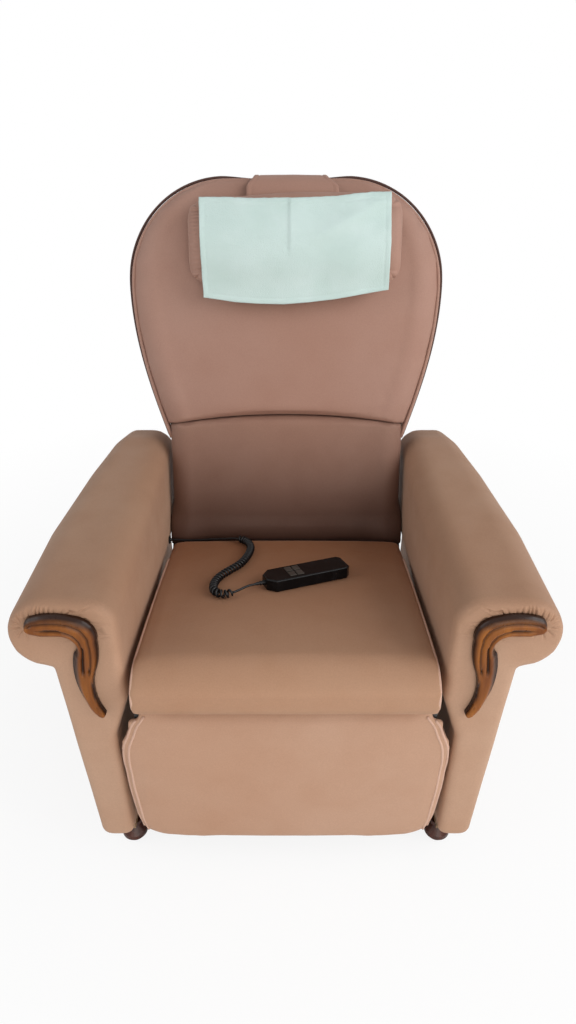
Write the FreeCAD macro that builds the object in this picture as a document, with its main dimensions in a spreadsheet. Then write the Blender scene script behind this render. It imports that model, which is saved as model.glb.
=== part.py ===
import FreeCAD, Part
import math
import os
import Sketcher
from types import SimpleNamespace

# A reclining chair for foot treatments, with two linear motors under the seat.
# Lengths are in millimetres and angles in degrees. X is right, Y is back and Z is up.
# The origin is on the floor, under the middle of the chair.

SIZES = {
    # The whole chair
    "front_reach": 400,
    "soft_gap": 0.3,
    "running_gap": 0.05,
    "overrun": 5,
    # Padded arms
    "arm_height": 618,
    "arm_length": 684,
    "floor_gap": 52,
    "inner_gap": 574,
    "arm_width": 145,
    "arm_swell": 29,
    "padding_height": 330,
    "padding_rise": 90,
    "arm_round": 45,
    "roll_top": 70,
    "roll_depth": 129,
    "roll_overhang": 60,
    "arm_taper": 20,
    "arm_draw": 9,
    "rear_narrowing": 56,
    "rear_fall": 26,
    # Wooden arm frames and their feet
    "frame_thickness": 26,
    "frame_cover": 3,
    "frame_front": 20,
    "frame_length": 610,
    "frame_height": 530,
    "frame_hole_radius": 50,
    "frame_hole_pitch": 150,
    "foot_inset": 10,
    "foot_front": 46,
    "foot_rear": 600,
    "foot_radius": 24.5,
    "foot_base": 17,
    "foot_neck": 13,
    "foot_collar": 18,
    "stud_radius": 4,
    "stud_length": 25,
    # Carved scrolls on the arm fronts
    "trim_depth": 14,
    "trim_edge": 4,
    "trim_margin": 37,
    "trim_inset": 2,
    "trim_top": 603,
    "trim_tip": 386,
    "trim_bar": 41,
    "trim_stem": 36,
    "trim_groove": 3,
    # Cross rails between the arm frames
    "rail_depth": 25,
    "rail_height": 35,
    "rail_wall": 2.5,
    "front_rail_back": 107.5,
    "front_rail_up": 361.5,
    "rear_rail_back": 452.5,
    "rear_rail_up": 272.5,
    "end_plate": 5,
    "end_plate_height": 72,
    "bolt_offset": 26,
    "bolt_radius": 4,
    "bolt_head": 7,
    "bolt_head_height": 5.5,
    "bolt_bite": 18,
    # Seat plates with their hinge lugs
    "plate_room": 37,
    "plate_thickness": 6,
    "lug_radius": 20,
    "flange_width": 22,
    "flange_thickness": 3,
    "leg_axis_back": 30,
    "leg_axis_up": 358,
    "back_axis_back": 515,
    "back_axis_up": 372,
    "axle_overhang": 2,
    # Seat
    "seat_slope": 6.8,
    "seat_base": 400,
    "seat_nose": 22,
    "seat_length": 470,
    "seat_side_gap": 1,
    "seat_thickness": 97,
    "seat_rear_thickness": 84,
    "seat_crown": 5,
    "webbing_thickness": 2.5,
    "webbing_width": 40,
    # Back
    "back_rake": 17,
    "waist_room": 8,
    "waist_height": 248,
    "shoulder_flare": 72,
    "shoulder_height": 578,
    "back_corner": 200,
    "pad_rear": 13.7,
    "pad_front": 46,
    "pad_crown": 5,
    "pad_bottom": 23,
    "lumbar_recess": 4,
    "lumbar_side_gap": 2,
    "seam_height": 286,
    "seam_crown": 21,
    "seam_groove": 7,
    "board_inset": 12,
    "board_thickness": 18,
    "board_bottom": 26,
    "board_side_gap": 14,
    "board_hole_radius": 48,
    "board_hole_pitch": 150,
    "cover_depth": 60,
    "cover_crown": 6,
    "cover_bottom": 30,
    "bracket_thickness": 6,
    "bracket_height": 220,
    "back_axle_radius": 12.5,
    "axle_wall": 2.5,
    # Head pillow, its towel, its strap and the weight that balances it
    "pillow_width": 420,
    "pillow_height": 173,
    "pillow_depth": 54,
    "pillow_drop": 37,
    "pillow_shift": 18,
    "strap_width": 172,
    "strap_thickness": 3,
    "strap_tuck": 62,
    "towel_width": 356,
    "towel_thickness": 3,
    "towel_hang": 42,
    "towel_fold": 5,
    "weight_width": 196,
    "weight_height": 110,
    "weight_depth": 32,
    "weight_drop": 78,
    # Legrest
    "roll_radius": 34,
    "legrest_side_gap": 4,
    "legrest_length": 299,
    "legrest_depth": 44,
    "legrest_corner": 120,
    "notch_room": 4,
    "pad_narrowing": 22,
    "notch_slant": 20,
    "notch_drop": 26,
    "leg_axle_radius": 11,
    "leg_board_thickness": 12,
    "leg_board_margin": 23,
    "leg_board_corner": 70,
    "leg_bracket_spacing": 300,
    "leg_bracket_length": 210,
    "hub_radius": 18,
    # Motors and their levers
    "motor_spacing": 140,
    "pin_radius": 6,
    "fork_pin_radius": 5,
    "lever_thickness": 8,
    "lever_wall": 8,
    "back_lever_reach": 65,
    "back_lever_angle": 22.5,
    "back_travel": 45,
    "back_pivot_back": 150,
    "back_pivot_up": 300,
    "leg_lever_reach": 67,
    "leg_lever_angle": 26.5,
    "leg_travel": 85,
    "leg_pivot_back": 505,
    "leg_pivot_up": 212,
    "gearbox_start": 16,
    "gearbox_end": 64,
    "gearbox_height": 48,
    "gearbox_width": 48,
    "gearbox_side": 46,
    "motor_radius": 20,
    "motor_length": 84,
    "tube_radius": 15,
    "tube_bore": 12,
    "tube_gland": 20,
    "rod_radius": 10,
    "rod_inside": 60,
    "fork_length": 40,
    "fork_width": 26,
    "fork_height": 24,
    "fork_room": 0.5,
    "hanger_thickness": 5,
    # Control box under the seat
    "box_width": 120,
    "box_depth": 66,
    "box_height": 44,
    "box_wall": 3,
    "inlet_width": 20,
    "inlet_height": 12,
    "inlet_depth": 14,
    # Handset
    "handset_length": 168,
    "handset_width": 52,
    "handset_half": 12,
    "handset_wall": 2.5,
    "handset_chamfer": 15,
    "handset_edge": 3,
    "handset_x": 37.5,
    "handset_back": 258,
    "handset_lift": 4.8,
    "handset_turn": 22.7,
    "board_gap": 2,
    "circuit_thickness": 1.6,
    "key_length": 13,
    "key_width": 16,
    "key_pitch_x": 15.5,
    "key_pitch_y": 19,
    "key_centre": 24,
    "key_proud": 1.6,
    "key_travel": 1,
    "key_gap": 0.2,
    "key_flange": 1,
    # Handset cord
    "cord_diameter": 4.4,
    "curl_diameter": 17,
    "relief_length": 18,
    "relief_radius": 5,
    "gland_radius": 9,
    "gland_length": 6,
}


class Size:
    """A size that keeps its formula, so that a feature can be bound to it."""

    def __init__(self, text, number):
        self.text = text
        self.number = number

    def __float__(self):
        return float(self.number)

    def __add__(self, other):
        return join(self, "+", other, self.number + float(other))

    def __radd__(self, other):
        return join(other, "+", self, float(other) + self.number)

    def __sub__(self, other):
        return join(self, "-", other, self.number - float(other))

    def __rsub__(self, other):
        return join(other, "-", self, float(other) - self.number)

    def __mul__(self, other):
        return join(self, "*", other, self.number * float(other))

    def __rmul__(self, other):
        return join(other, "*", self, float(other) * self.number)

    def __truediv__(self, other):
        return join(self, "/", other, self.number / float(other))

    def __neg__(self):
        return Size(f"(-1 * {self.text})", -self.number)


def as_size(value):
    """Makes a plain number a size, and leaves a size as it is."""
    if isinstance(value, Size):
        return value
    return Size(repr(float(value)), float(value))


def join(left, sign, right, number):
    """Writes the formula of a sum or a product."""
    return Size(f"({as_size(left).text} {sign} {as_size(right).text})", number)


def sine(angle):
    return Size(f"sin({as_size(angle).text})", math.sin(math.radians(float(angle))))


def cosine(angle):
    return Size(f"cos({as_size(angle).text})", math.cos(math.radians(float(angle))))


def slope_of(rise, run):
    """The angle of a line, from its rise and its run."""
    number = math.degrees(math.atan2(float(rise), float(run)))
    return Size(f"atan2({as_size(rise).text}; {as_size(run).text})", number)


def span_of(rise, run):
    """The length of a line, from its rise and its run."""
    text = f"sqrt({as_size(rise).text} ^ 2 + {as_size(run).text} ^ 2)"
    return Size(text, math.hypot(float(rise), float(run)))


document = FreeCAD.newDocument("Recliner")
sheet = document.addObject("Spreadsheet::Sheet", "Sizes")
for row, (name, number) in enumerate(SIZES.items(), start=1):
    sheet.set(f"A{row}", str(number))
    sheet.setAlias(f"A{row}", name)
document.recompute()
dim = SimpleNamespace(**{name: Size(f"Sizes.{name}", sheet.get(name)) for name in SIZES})
pieces = []

# Widths that follow the space between the arms
seat_gap = dim.inner_gap - dim.arm_swell * 2
plate_gap = dim.inner_gap - dim.plate_room * 2
seat_width = plate_gap - dim.seat_side_gap * 2
lumbar_width = plate_gap - dim.lumbar_side_gap * 2
board_half_width = plate_gap / 2 - dim.board_side_gap
back_waist = seat_gap / 2 - dim.waist_room
back_shoulder = back_waist + dim.shoulder_flare
legrest_width = dim.inner_gap - dim.legrest_side_gap * 2

HALF_TURN_SHARE = math.sqrt(0.5)
LEAN = FreeCAD.Vector(-1, 0, 0)
TILT = FreeCAD.Vector(1, 0, 0)
front = -dim.front_reach
zero = Size("0", 0)


def vector(x, y, z):
    return FreeCAD.Vector(float(x), float(y), float(z))


def keep(thing, label):
    """Names a finished piece, and lists it among those that are written out."""
    thing.Label = label
    pieces.append(thing)
    return thing


def new_body(label):
    return keep(document.addObject("PartDesign::Body", label), label)


def place(thing, x=0, y=0, z=0, axis=None, angle=0):
    """Binds the place of a piece, and its turn about an axis."""
    if axis is not None:
        thing.Placement = FreeCAD.Placement(FreeCAD.Vector(), FreeCAD.Rotation(axis, float(angle)))
        thing.setExpression("Placement.Rotation.Angle", as_size(angle).text)
    for letter, value in zip("xyz", (x, y, z)):
        thing.setExpression(f"Placement.Base.{letter}", as_size(value).text)


def draw(body, role, start, *steps, offset=None):
    """Adds a closed sketch of lines (x, y) and arcs (mid x, mid y, x, y), every point bound."""
    sketch = body.newObject("Sketcher::SketchObject", body.Name + "Sketch")
    origin_plane = next(item for item in body.Origin.OriginFeatures if item.Role == role)
    sketch.AttachmentSupport = [(origin_plane, "")]
    sketch.MapMode = "FlatFace"
    if offset is not None:
        sketch.setExpression("AttachmentOffset.Base.z", as_size(offset).text)
    here = start
    edges = []
    for step in steps + (start,):
        there = step[-2:]
        a = vector(here[0], here[1], 0)
        b = vector(there[0], there[1], 0)
        if len(step) == 4:
            # A sketch keeps its arcs anticlockwise, so a clockwise one is drawn from its end.
            middle = vector(step[0], step[1], 0)
            anticlockwise = (b - a).cross(middle - a).z < 0
            ends = (a, b) if anticlockwise else (b, a)
            edge = sketch.addGeometry(Part.ArcOfCircle(ends[0], middle, ends[1]), False)
            edges.append((edge, 1, 2) if anticlockwise else (edge, 2, 1))
            guide = sketch.addGeometry(Part.Point(middle), True)
            sketch.addConstraint(Sketcher.Constraint("PointOnObject", guide, 1, edge))
            fix_point(sketch, guide, 1, step[0], step[1])
        else:
            edges.append((sketch.addGeometry(Part.LineSegment(a, b), False), 1, 2))
        fix_point(sketch, edges[-1][0], edges[-1][1], here[0], here[1])
        here = there
    for (edge, first, last), (following, entry, leave) in zip(edges, edges[1:] + edges[:1]):
        sketch.addConstraint(Sketcher.Constraint("Coincident", edge, last, following, entry))
    return sketch


def fix_point(sketch, edge, end, x, y):
    """Binds one point of a sketch to its two formulas."""
    for kind, value in (("DistanceX", x), ("DistanceY", y)):
        row = sketch.addConstraint(Sketcher.Constraint(kind, -1, 1, edge, end, float(value)))
        sketch.setExpression(f"Constraints[{row}]", as_size(value).text)


def draw_circles(body, role, circles, offset=None):
    """Adds a sketch of circles, each given by its centre and radius."""
    sketch = body.newObject("Sketcher::SketchObject", body.Name + "Circles")
    origin_plane = next(item for item in body.Origin.OriginFeatures if item.Role == role)
    sketch.AttachmentSupport = [(origin_plane, "")]
    sketch.MapMode = "FlatFace"
    if offset is not None:
        sketch.setExpression("AttachmentOffset.Base.z", as_size(offset).text)
    for x, y, radius in circles:
        circle = Part.Circle(vector(x, y, 0), FreeCAD.Vector(0, 0, 1), float(radius))
        edge = sketch.addGeometry(circle, False)
        fix_point(sketch, edge, 3, x, y)
        row = sketch.addConstraint(Sketcher.Constraint("Radius", edge, float(radius)))
        sketch.setExpression(f"Constraints[{row}]", as_size(radius).text)
    return sketch


def pad(body, sketch, length, midplane=True, backwards=False):
    feature = body.newObject("PartDesign::Pad", body.Name + "Pad")
    feature.Profile = sketch
    feature.Midplane = midplane
    feature.Reversed = backwards
    feature.setExpression("Length", as_size(length).text)
    return feature


def pocket(body, sketch, length, midplane=True, backwards=False):
    feature = body.newObject("PartDesign::Pocket", body.Name + "Pocket")
    feature.Profile = sketch
    feature.Midplane = midplane
    feature.Reversed = backwards
    feature.setExpression("Length", as_size(length).text)
    return feature


def revolve(body, sketch):
    """Turns a sketch of the XZ plane about the body's upright axis."""
    feature = body.newObject("PartDesign::Revolution", body.Name + "Revolution")
    feature.Profile = sketch
    feature.ReferenceAxis = (sketch, ["V_Axis"])
    return feature


def round_edges(body, chosen, radius):
    """Rounds the edges of the body's last feature that a test picks."""
    document.recompute()
    base = body.Tip
    names = [f"Edge{i}" for i, edge in enumerate(base.Shape.Edges, start=1) if chosen(edge)]
    feature = body.newObject("PartDesign::Fillet", body.Name + "Fillet")
    feature.Base = (base, names)
    feature.setExpression("Radius", as_size(radius).text)
    return feature


def rectangle(x, y, width, height):
    """The corners of a rectangle about its centre."""
    return (
        (x - width / 2, y - height / 2),
        (x + width / 2, y - height / 2),
        (x + width / 2, y + height / 2),
        (x - width / 2, y + height / 2),
    )


def ring(at, start, *steps):
    """A closed wire of lines and arcs, each point put in space by the function at."""
    edges = []
    here = start
    for step in steps + (start,):
        there = step[-2:]
        if len(step) == 4:
            edges.append(Part.Arc(at(*here), at(*step[:2]), at(*there)).toShape())
        elif at(*here).distanceToPoint(at(*there)) > 0:
            edges.append(Part.LineSegment(at(*here), at(*there)).toShape())
        here = there
    return Part.Wire(edges)


def block(x1, x2, y1, y2, z1, z2):
    """A plain block between two corners, used as a cutting tool."""
    size = vector(x2, y2, z2) - vector(x1, y1, z1)
    return Part.makeBox(size.x, size.y, size.z, vector(x1, y1, z1))


def bar(radius, start, end):
    """A round cutting tool between two points."""
    way = end - start
    return Part.makeCylinder(float(radius), way.Length, start, way)


def form(label, shape, placement=None):
    """Adds a piece whose shape is a loft, and puts it in its place."""
    feature = document.addObject("Part::Feature", label)
    feature.Shape = shape
    if placement is not None:
        feature.Placement = placement
    return keep(feature, label)


def leaning(y, z, axis, angle):
    """A placement on the chair's middle plane, turned about a level axis."""
    return FreeCAD.Placement(vector(0, y, z), FreeCAD.Rotation(axis, float(angle)))


leg_axis = (front + dim.leg_axis_back, dim.leg_axis_up)
back_axis = (front + dim.back_axis_back, dim.back_axis_up)
seat_frame = leaning(front, dim.seat_base, LEAN, dim.seat_slope)
back_frame = leaning(back_axis[0], back_axis[1], LEAN, dim.back_rake)
leg_frame = leaning(leg_axis[0], leg_axis[1], LEAN, 0)


def on_back(body):
    place(body, 0, back_axis[0], back_axis[1], LEAN, dim.back_rake)


# Padded arms. Each has a straight inner side that swells beside the seat, a roll that leans
# out over a tapered outer side, and a hollow for the wooden frame.

frame_inner = dim.inner_gap / 2 + dim.frame_cover
half_reach = dim.inner_gap / 2 + dim.arm_width


def arm_ring(side, y, draw_in, narrowing, fall):
    inner = float(dim.inner_gap / 2) + draw_in
    upper = float(seat_gap / 2) + draw_in
    top = float(dim.arm_height) - draw_in - fall
    bottom = float(dim.floor_gap) + draw_in
    reach = float(half_reach) - draw_in - narrowing
    neck = float(half_reach - dim.roll_overhang) - draw_in - narrowing * NECK_SHARE
    foot = neck - float(dim.arm_taper)
    edge = (foot - inner) * EDGE_SHARE
    corner = edge * (1 - HALF_TURN_SHARE)
    rounding = float(dim.arm_round)
    start = upper + rounding
    shoulder = start + (reach - start) * ROLL_SHARE
    side_height = top - float(dim.roll_top)
    notch = float(dim.arm_height) - float(dim.roll_depth) - fall
    bend = rounding * (1 - HALF_TURN_SHARE)
    return ring(
        lambda x, z: vector(side * x, y, z),
        (inner, bottom + edge),
        (inner, float(dim.padding_height)),
        (upper, float(dim.padding_height + dim.padding_rise)),
        (upper, top - rounding),
        (upper + bend, top - bend, upper + rounding, top),
        (shoulder, top),
        (shoulder + (reach - shoulder) * HALF_TURN_SHARE,
         top - (top - side_height) * (1 - HALF_TURN_SHARE), reach, side_height),
        (neck + (reach - neck) * HALF_TURN_SHARE,
         side_height - (side_height - notch) * HALF_TURN_SHARE, neck, notch),
        (foot, bottom + edge),
        (foot - corner, bottom + corner, foot - edge, bottom),
        (inner + edge, bottom),
        (inner + corner, bottom + corner, inner, bottom + edge),
    )


ROLL_SHARE = 0.52
NECK_SHARE = 0.2
EDGE_SHARE = 0.3
ARM_SHARES = (
    # Share of the length, then of the drawing-in, the narrowing and the rear fall
    (0.000, 1.0, 0.00, 0.0),
    (0.006, 0.4, 0.00, 0.0),
    (0.022, 0.0, 0.00, 0.0),
    (0.350, 0.0, 0.00, 0.0),
    (0.660, 0.0, 0.35, 0.0),
    (0.860, 0.0, 0.68, 0.1),
    (0.950, 0.2, 0.86, 0.4),
    (0.988, 0.9, 0.97, 0.8),
    (1.000, 1.8, 1.00, 1.0),
)


def rail_centres():
    """Where both cross rails lie: behind the arm fronts, and above the floor."""
    return (
        (dim.front_rail_back, dim.front_rail_up),
        (dim.rear_rail_back, dim.rear_rail_up),
    )


def bolt_centres():
    """The places of the bolts that hold both cross rails to an arm frame."""
    for back, up in rail_centres():
        for sign in (-1, 1):
            yield front + back, up + sign * dim.bolt_offset


def arm_pad(label, side):
    rings = []
    for length, draw_in, narrowing, fall in ARM_SHARES:
        rings.append(arm_ring(
            side,
            float(front + dim.arm_length * length),
            float(dim.arm_draw) * draw_in,
            float(dim.rear_narrowing) * narrowing,
            float(dim.rear_fall) * fall,
        ))
    solid = Part.makeLoft(rings, True, True)
    gap = dim.soft_gap
    low = side * (frame_inner - gap)
    high = side * (frame_inner + dim.frame_thickness + gap)
    start = front + dim.frame_front
    hollow = block(
        min(float(low), float(high)), max(float(low), float(high)),
        start - gap, start + dim.frame_length + gap,
        -dim.overrun, dim.floor_gap + dim.frame_height + gap,
    )
    solid = solid.cut(hollow)
    ends = sorted((float(side * seat_gap / 2 - side * dim.overrun), float(side * frame_inner)))
    for back, up in rail_centres():
        half_deep = dim.rail_depth / 2 + gap
        half_tall = dim.end_plate_height / 2 + gap
        solid = solid.cut(block(
            ends[0], ends[1], front + back - half_deep, front + back + half_deep,
            up - half_tall, up + half_tall,
        ))
    form(label, solid)


def arm_frame(label, side):
    """A wooden side frame with lightening holes, bolt holes and blind holes for the feet."""
    body = new_body(label)
    low = front + dim.frame_front
    high = low + dim.frame_length
    top = dim.floor_gap + dim.frame_height
    slope = dim.frame_hole_radius * 2
    pad(body, draw(
        body, "YZ_Plane",
        (low, dim.floor_gap), (high, dim.floor_gap), (high, top - slope), (high - slope, top),
        (low, top),
    ), dim.frame_thickness)
    middle = (low + high) / 2
    rows = (dim.floor_gap + dim.frame_hole_pitch, dim.floor_gap + dim.frame_hole_pitch * 2.7)
    holes = []
    for column in (-1, 0, 1):
        for height in rows:
            holes.append((middle + column * dim.frame_hole_pitch, height, dim.frame_hole_radius))
    through = dim.frame_thickness + dim.overrun
    pocket(body, draw_circles(body, "YZ_Plane", holes), through)
    bolts = [(y, z, dim.bolt_radius + dim.running_gap) for y, z in bolt_centres()]
    pocket(body, draw_circles(body, "YZ_Plane", bolts), through)
    shift = side * (dim.foot_inset - dim.frame_thickness / 2)
    studs = [
        (shift, front + back, dim.stud_radius + dim.running_gap)
        for back in (dim.foot_front, dim.foot_rear)
    ]
    pocket(
        body, draw_circles(body, "XY_Plane", studs),
        dim.floor_gap + dim.stud_length + dim.running_gap, midplane=False, backwards=True,
    )
    place(body, side * (frame_inner + dim.frame_thickness / 2))


def foot(label, side, back):
    """A turned bun foot with the stud that screws into the arm frame."""
    body = new_body(label)
    tall = dim.floor_gap
    revolve(body, draw(
        body, "XZ_Plane",
        (0, 0), (dim.foot_base, 0),
        (dim.foot_radius, tall * 0.22), (dim.foot_radius, tall * 0.40),
        (dim.foot_neck, tall * 0.70), (dim.foot_collar, tall * 0.84), (dim.foot_collar, tall),
        (dim.stud_radius, tall), (dim.stud_radius, tall + dim.stud_length),
        (0, tall + dim.stud_length),
    ))
    place(body, side * (frame_inner + dim.foot_inset), front + back)


def scroll(side, margin):
    """The outline of a carved scroll, drawn in by a margin: a bar that bends down to a tip."""
    outer = float(half_reach - dim.trim_margin)
    inner = float(dim.inner_gap / 2 + dim.trim_inset)
    top = float(dim.trim_top)
    tip = float(dim.trim_tip)
    tall = top - tip
    wide = outer - inner
    under = top - float(dim.trim_bar) + margin
    stem = inner + float(dim.trim_stem) - margin
    edge = inner + margin
    return ring(
        lambda x, z: FreeCAD.Vector(side * x, 0, z),
        (outer - wide * 0.10 - margin * 0.4, top - margin - wide * 0.05),
        (outer - margin - wide * 0.005, top - tall * 0.09,
         outer - wide * 0.07 - margin * 0.6, under + wide * 0.06),
        (outer - wide * 0.22, under),
        (stem + wide * 0.20, under),
        (stem + wide * 0.03, under - wide * 0.06, stem + wide * 0.03, under - tall * 0.17),
        (stem + wide * 0.08, tip + tall * 0.38, stem - wide * 0.02, tip + tall * 0.12),
        (stem - wide * 0.13, tip + margin, edge + wide * 0.12, tip + margin + tall * 0.05),
        (edge + wide * 0.17, tip + tall * 0.28, edge + wide * 0.09, tip + tall * 0.47),
        (edge + wide * 0.015, tip + tall * 0.62, edge, tip + tall * 0.76),
        (edge + wide * 0.06, top - margin - wide * 0.17, edge + wide * 0.28,
         top - margin - wide * 0.04),
        (outer - wide * 0.50, top - margin, outer - wide * 0.24, top - margin - wide * 0.01),
    )


def arm_trim(label, side):
    """The carved scroll with its two grooves, which follow the outline."""
    deep = float(dim.trim_depth)
    plate = Part.Face(scroll(side, 0)).extrude(FreeCAD.Vector(0, -deep, 0))
    near = float(dim.trim_edge)
    far = near + float(dim.trim_groove)
    cut = Part.Face(scroll(side, near)).cut(Part.Face(scroll(side, far)))
    cut.translate(FreeCAD.Vector(0, -deep - float(dim.overrun), 0))
    plate = plate.cut(cut.extrude(vector(0, dim.overrun + dim.trim_groove, 0)))
    form(label, plate, FreeCAD.Placement(vector(0, front - dim.soft_gap, 0), FreeCAD.Rotation()))


for name, side in (("left", -1), ("right", 1)):
    arm_frame("arm_frame_" + name, side)
    arm_pad("arm_pad_" + name, side)
    arm_trim("arm_trim_" + name, side)
    foot("foot_front_" + name, side, dim.foot_front)
    foot("foot_rear_" + name, side, dim.foot_rear)


# Cross rails: box tubes with a welded plate at each end, bolted to the arm frames.


def ear_outline(y, z, over):
    """An ear from a rail's rear face to a motor's pin, straight or over the gearbox."""
    deep = dim.pin_radius * 2
    face = dim.rail_depth / 2
    tall = dim.rail_height / 2
    if over:
        return (
            (face, -tall * 0.8), (y - deep * 0.5, z + deep * 2.6), (y - deep * 0.85, z + deep),
            (y - deep, z), (y - deep, z - deep), (y + deep, z - deep), (y + deep, z + deep * 1.6),
            (face, tall * 0.9),
        )
    return (
        (-face, -tall), (y - deep, z - deep), (y + deep, z - deep), (y + deep, z + deep), (face, zero),
    )


def cross_rail(label, back, up, hanger):
    """A box tube with end plates, and a pair of welded ears that carry a motor's pin."""
    body = new_body(label)
    half = frame_inner - dim.running_gap
    pad(body, draw(
        body, "YZ_Plane", *rectangle(zero, zero, dim.rail_depth, dim.rail_height),
    ), half * 2)
    for sign in (-1, 1):
        pad(body, draw(
            body, "YZ_Plane", *rectangle(zero, zero, dim.rail_depth, dim.end_plate_height),
            offset=sign * (half - dim.end_plate / 2),
        ), dim.end_plate)
    x, y, z, over = hanger
    ear_gap = dim.pin_radius * 3 + dim.soft_gap * 2
    for sign in (-1, 1):
        offset = x + sign * (ear_gap + dim.hanger_thickness) / 2
        pad(body, draw(body, "YZ_Plane", *ear_outline(y, z, over), offset=offset),
            dim.hanger_thickness)
        pocket(body, draw_circles(
            body, "YZ_Plane", [(y, z, dim.pin_radius + dim.running_gap)], offset=offset,
        ), dim.hanger_thickness + dim.running_gap)
    inner = rectangle(
        zero, zero, dim.rail_depth - dim.rail_wall * 2, dim.rail_height - dim.rail_wall * 2,
    )
    pocket(body, draw(body, "YZ_Plane", *inner), half * 2 + dim.overrun)
    ends = [
        (zero, sign * dim.bolt_offset, dim.bolt_radius + dim.running_gap) for sign in (-1, 1)
    ]
    for sign in (-1, 1):
        pocket(body, draw_circles(
            body, "YZ_Plane", ends, offset=sign * (half - dim.end_plate / 2),
        ), dim.end_plate + dim.running_gap)
    place(body, 0, front + back, up)


back_pivot = (front + dim.back_pivot_back, dim.back_pivot_up)
leg_pivot = (front + dim.leg_pivot_back, dim.leg_pivot_up)
cross_rail("front_rail", dim.front_rail_back, dim.front_rail_up, (
    -dim.motor_spacing / 2,
    dim.back_pivot_back - dim.front_rail_back,
    dim.back_pivot_up - dim.front_rail_up,
    False,
))
cross_rail("rear_rail", dim.rear_rail_back, dim.rear_rail_up, (
    dim.motor_spacing / 2,
    dim.leg_pivot_back - dim.rear_rail_back,
    dim.leg_pivot_up - dim.rear_rail_up,
    True,
))


def frame_bolts():
    """The hexagon bolts that hold the rails' end plates to the arm frames."""
    bolts = []
    number = 0
    for side in (-1, 1):
        face = side * (frame_inner - dim.running_gap - dim.end_plate)
        for y, z in bolt_centres():
            number += 1
            shank = document.addObject("Part::Cylinder", f"BoltShank{number}")
            shank.setExpression("Radius", dim.bolt_radius.text)
            reach = dim.end_plate + dim.running_gap + dim.bolt_bite
            shank.setExpression("Height", reach.text)
            head = document.addObject("Part::Prism", f"BoltHead{number}")
            head.Polygon = 6
            head.setExpression("Circumradius", dim.bolt_head.text)
            head.setExpression("Height", dim.bolt_head_height.text)
            turn = 90 if side > 0 else 270
            place(shank, face, y, z, FreeCAD.Vector(0, 1, 0), turn)
            place(head, face - side * dim.bolt_head_height, y, z, FreeCAD.Vector(0, 1, 0), turn)
            bolt = document.addObject("Part::Fuse", f"Bolt{number}")
            bolt.Base = shank
            bolt.Tool = head
            bolts.append(bolt)
    group = document.addObject("Part::Compound", "FrameBolts")
    group.Links = bolts
    keep(group, "frame_bolts")


frame_bolts()


# Seat plates: steel sides that hang on the rails and carry both hinges and the webbing.

seat_fall = sine(dim.seat_slope) / cosine(dim.seat_slope)


def seat_line(back):
    """The height of the cushion's underside at a distance behind the arm fronts."""
    return dim.seat_base - back * seat_fall


def flange_top(back):
    drop = (dim.webbing_thickness + dim.soft_gap * 2) / cosine(dim.seat_slope)
    return seat_line(back) - drop


flange_start = dim.leg_axis_back + dim.lug_radius * 1.3
flange_end = dim.rear_rail_back - dim.rail_depth


def seat_plate(label, side):
    body = new_body(label)
    leg_y = front + dim.leg_axis_back
    back_y = front + dim.back_axis_back
    lug = dim.lug_radius
    heel = dim.rear_rail_up - dim.rail_height / 2 - dim.rail_wall * 2
    heel_front = front + dim.rear_rail_back - dim.rail_depth
    heel_rear = front + dim.rear_rail_back + dim.rail_depth
    pad(body, draw(
        body, "YZ_Plane",
        (leg_y, dim.leg_axis_up - lug * 0.9),
        (heel_front, seat_line(flange_end) - dim.rail_height * 1.4),
        (heel_front, heel), (heel_rear, heel),
        (back_y, dim.back_axis_up - lug * 0.9),
        (back_y - lug * 0.95, dim.back_axis_up),
        (front + flange_end, flange_top(flange_end)),
        (front + flange_start, flange_top(flange_start)),
        (leg_y, dim.leg_axis_up + lug * 0.8),
    ), dim.plate_thickness)
    for y, z in ((leg_y, dim.leg_axis_up), (back_y, dim.back_axis_up)):
        pad(body, draw_circles(body, "YZ_Plane", [(y, z, lug)]), dim.plate_thickness)
    slant = dim.flange_thickness / cosine(dim.seat_slope)
    pad(body, draw(
        body, "YZ_Plane",
        (front + flange_start, flange_top(flange_start) - slant),
        (front + flange_end, flange_top(flange_end) - slant),
        (front + flange_end, flange_top(flange_end)),
        (front + flange_start, flange_top(flange_start)),
    ), dim.flange_width, midplane=False, backwards=side > 0)
    through = dim.plate_thickness + dim.overrun
    bores = [
        (leg_y, dim.leg_axis_up, dim.leg_axle_radius + dim.running_gap),
        (back_y, dim.back_axis_up, dim.back_axle_radius + dim.running_gap),
    ]
    pocket(body, draw_circles(body, "YZ_Plane", bores), through)
    for back, up in rail_centres():
        hole = rectangle(
            front + back, up,
            dim.rail_depth + dim.running_gap * 2, dim.rail_height + dim.running_gap * 2,
        )
        pocket(body, draw(body, "YZ_Plane", *hole), through)
    place(body, side * (plate_gap + dim.plate_thickness) / 2)


def seat_webbing():
    """Elastic straps across the seat, lying on the plates' flanges."""
    straps = []
    count = 8
    room = flange_end - flange_start - dim.webbing_width
    for number in range(count):
        strap = document.addObject("Part::Box", f"Strap{number + 1}")
        strap.setExpression("Length", (plate_gap - dim.soft_gap * 2).text)
        strap.setExpression("Width", dim.webbing_width.text)
        strap.setExpression("Height", dim.webbing_thickness.text)
        back = flange_start + dim.soft_gap + room * (number / (count - 1))
        rise = dim.soft_gap / cosine(dim.seat_slope)
        place(
            strap, -(plate_gap / 2 - dim.soft_gap), front + back, flange_top(back) + rise,
            LEAN, dim.seat_slope,
        )
        straps.append(strap)
    group = document.addObject("Part::Compound", "SeatWebbing")
    group.Links = straps
    keep(group, "seat_webbing")


seat_plate("seat_plate_left", -1)
seat_plate("seat_plate_right", 1)
seat_webbing()


# Seat cushion: a boxed cushion with a crowned top and a rounded nose over the legrest.

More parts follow.
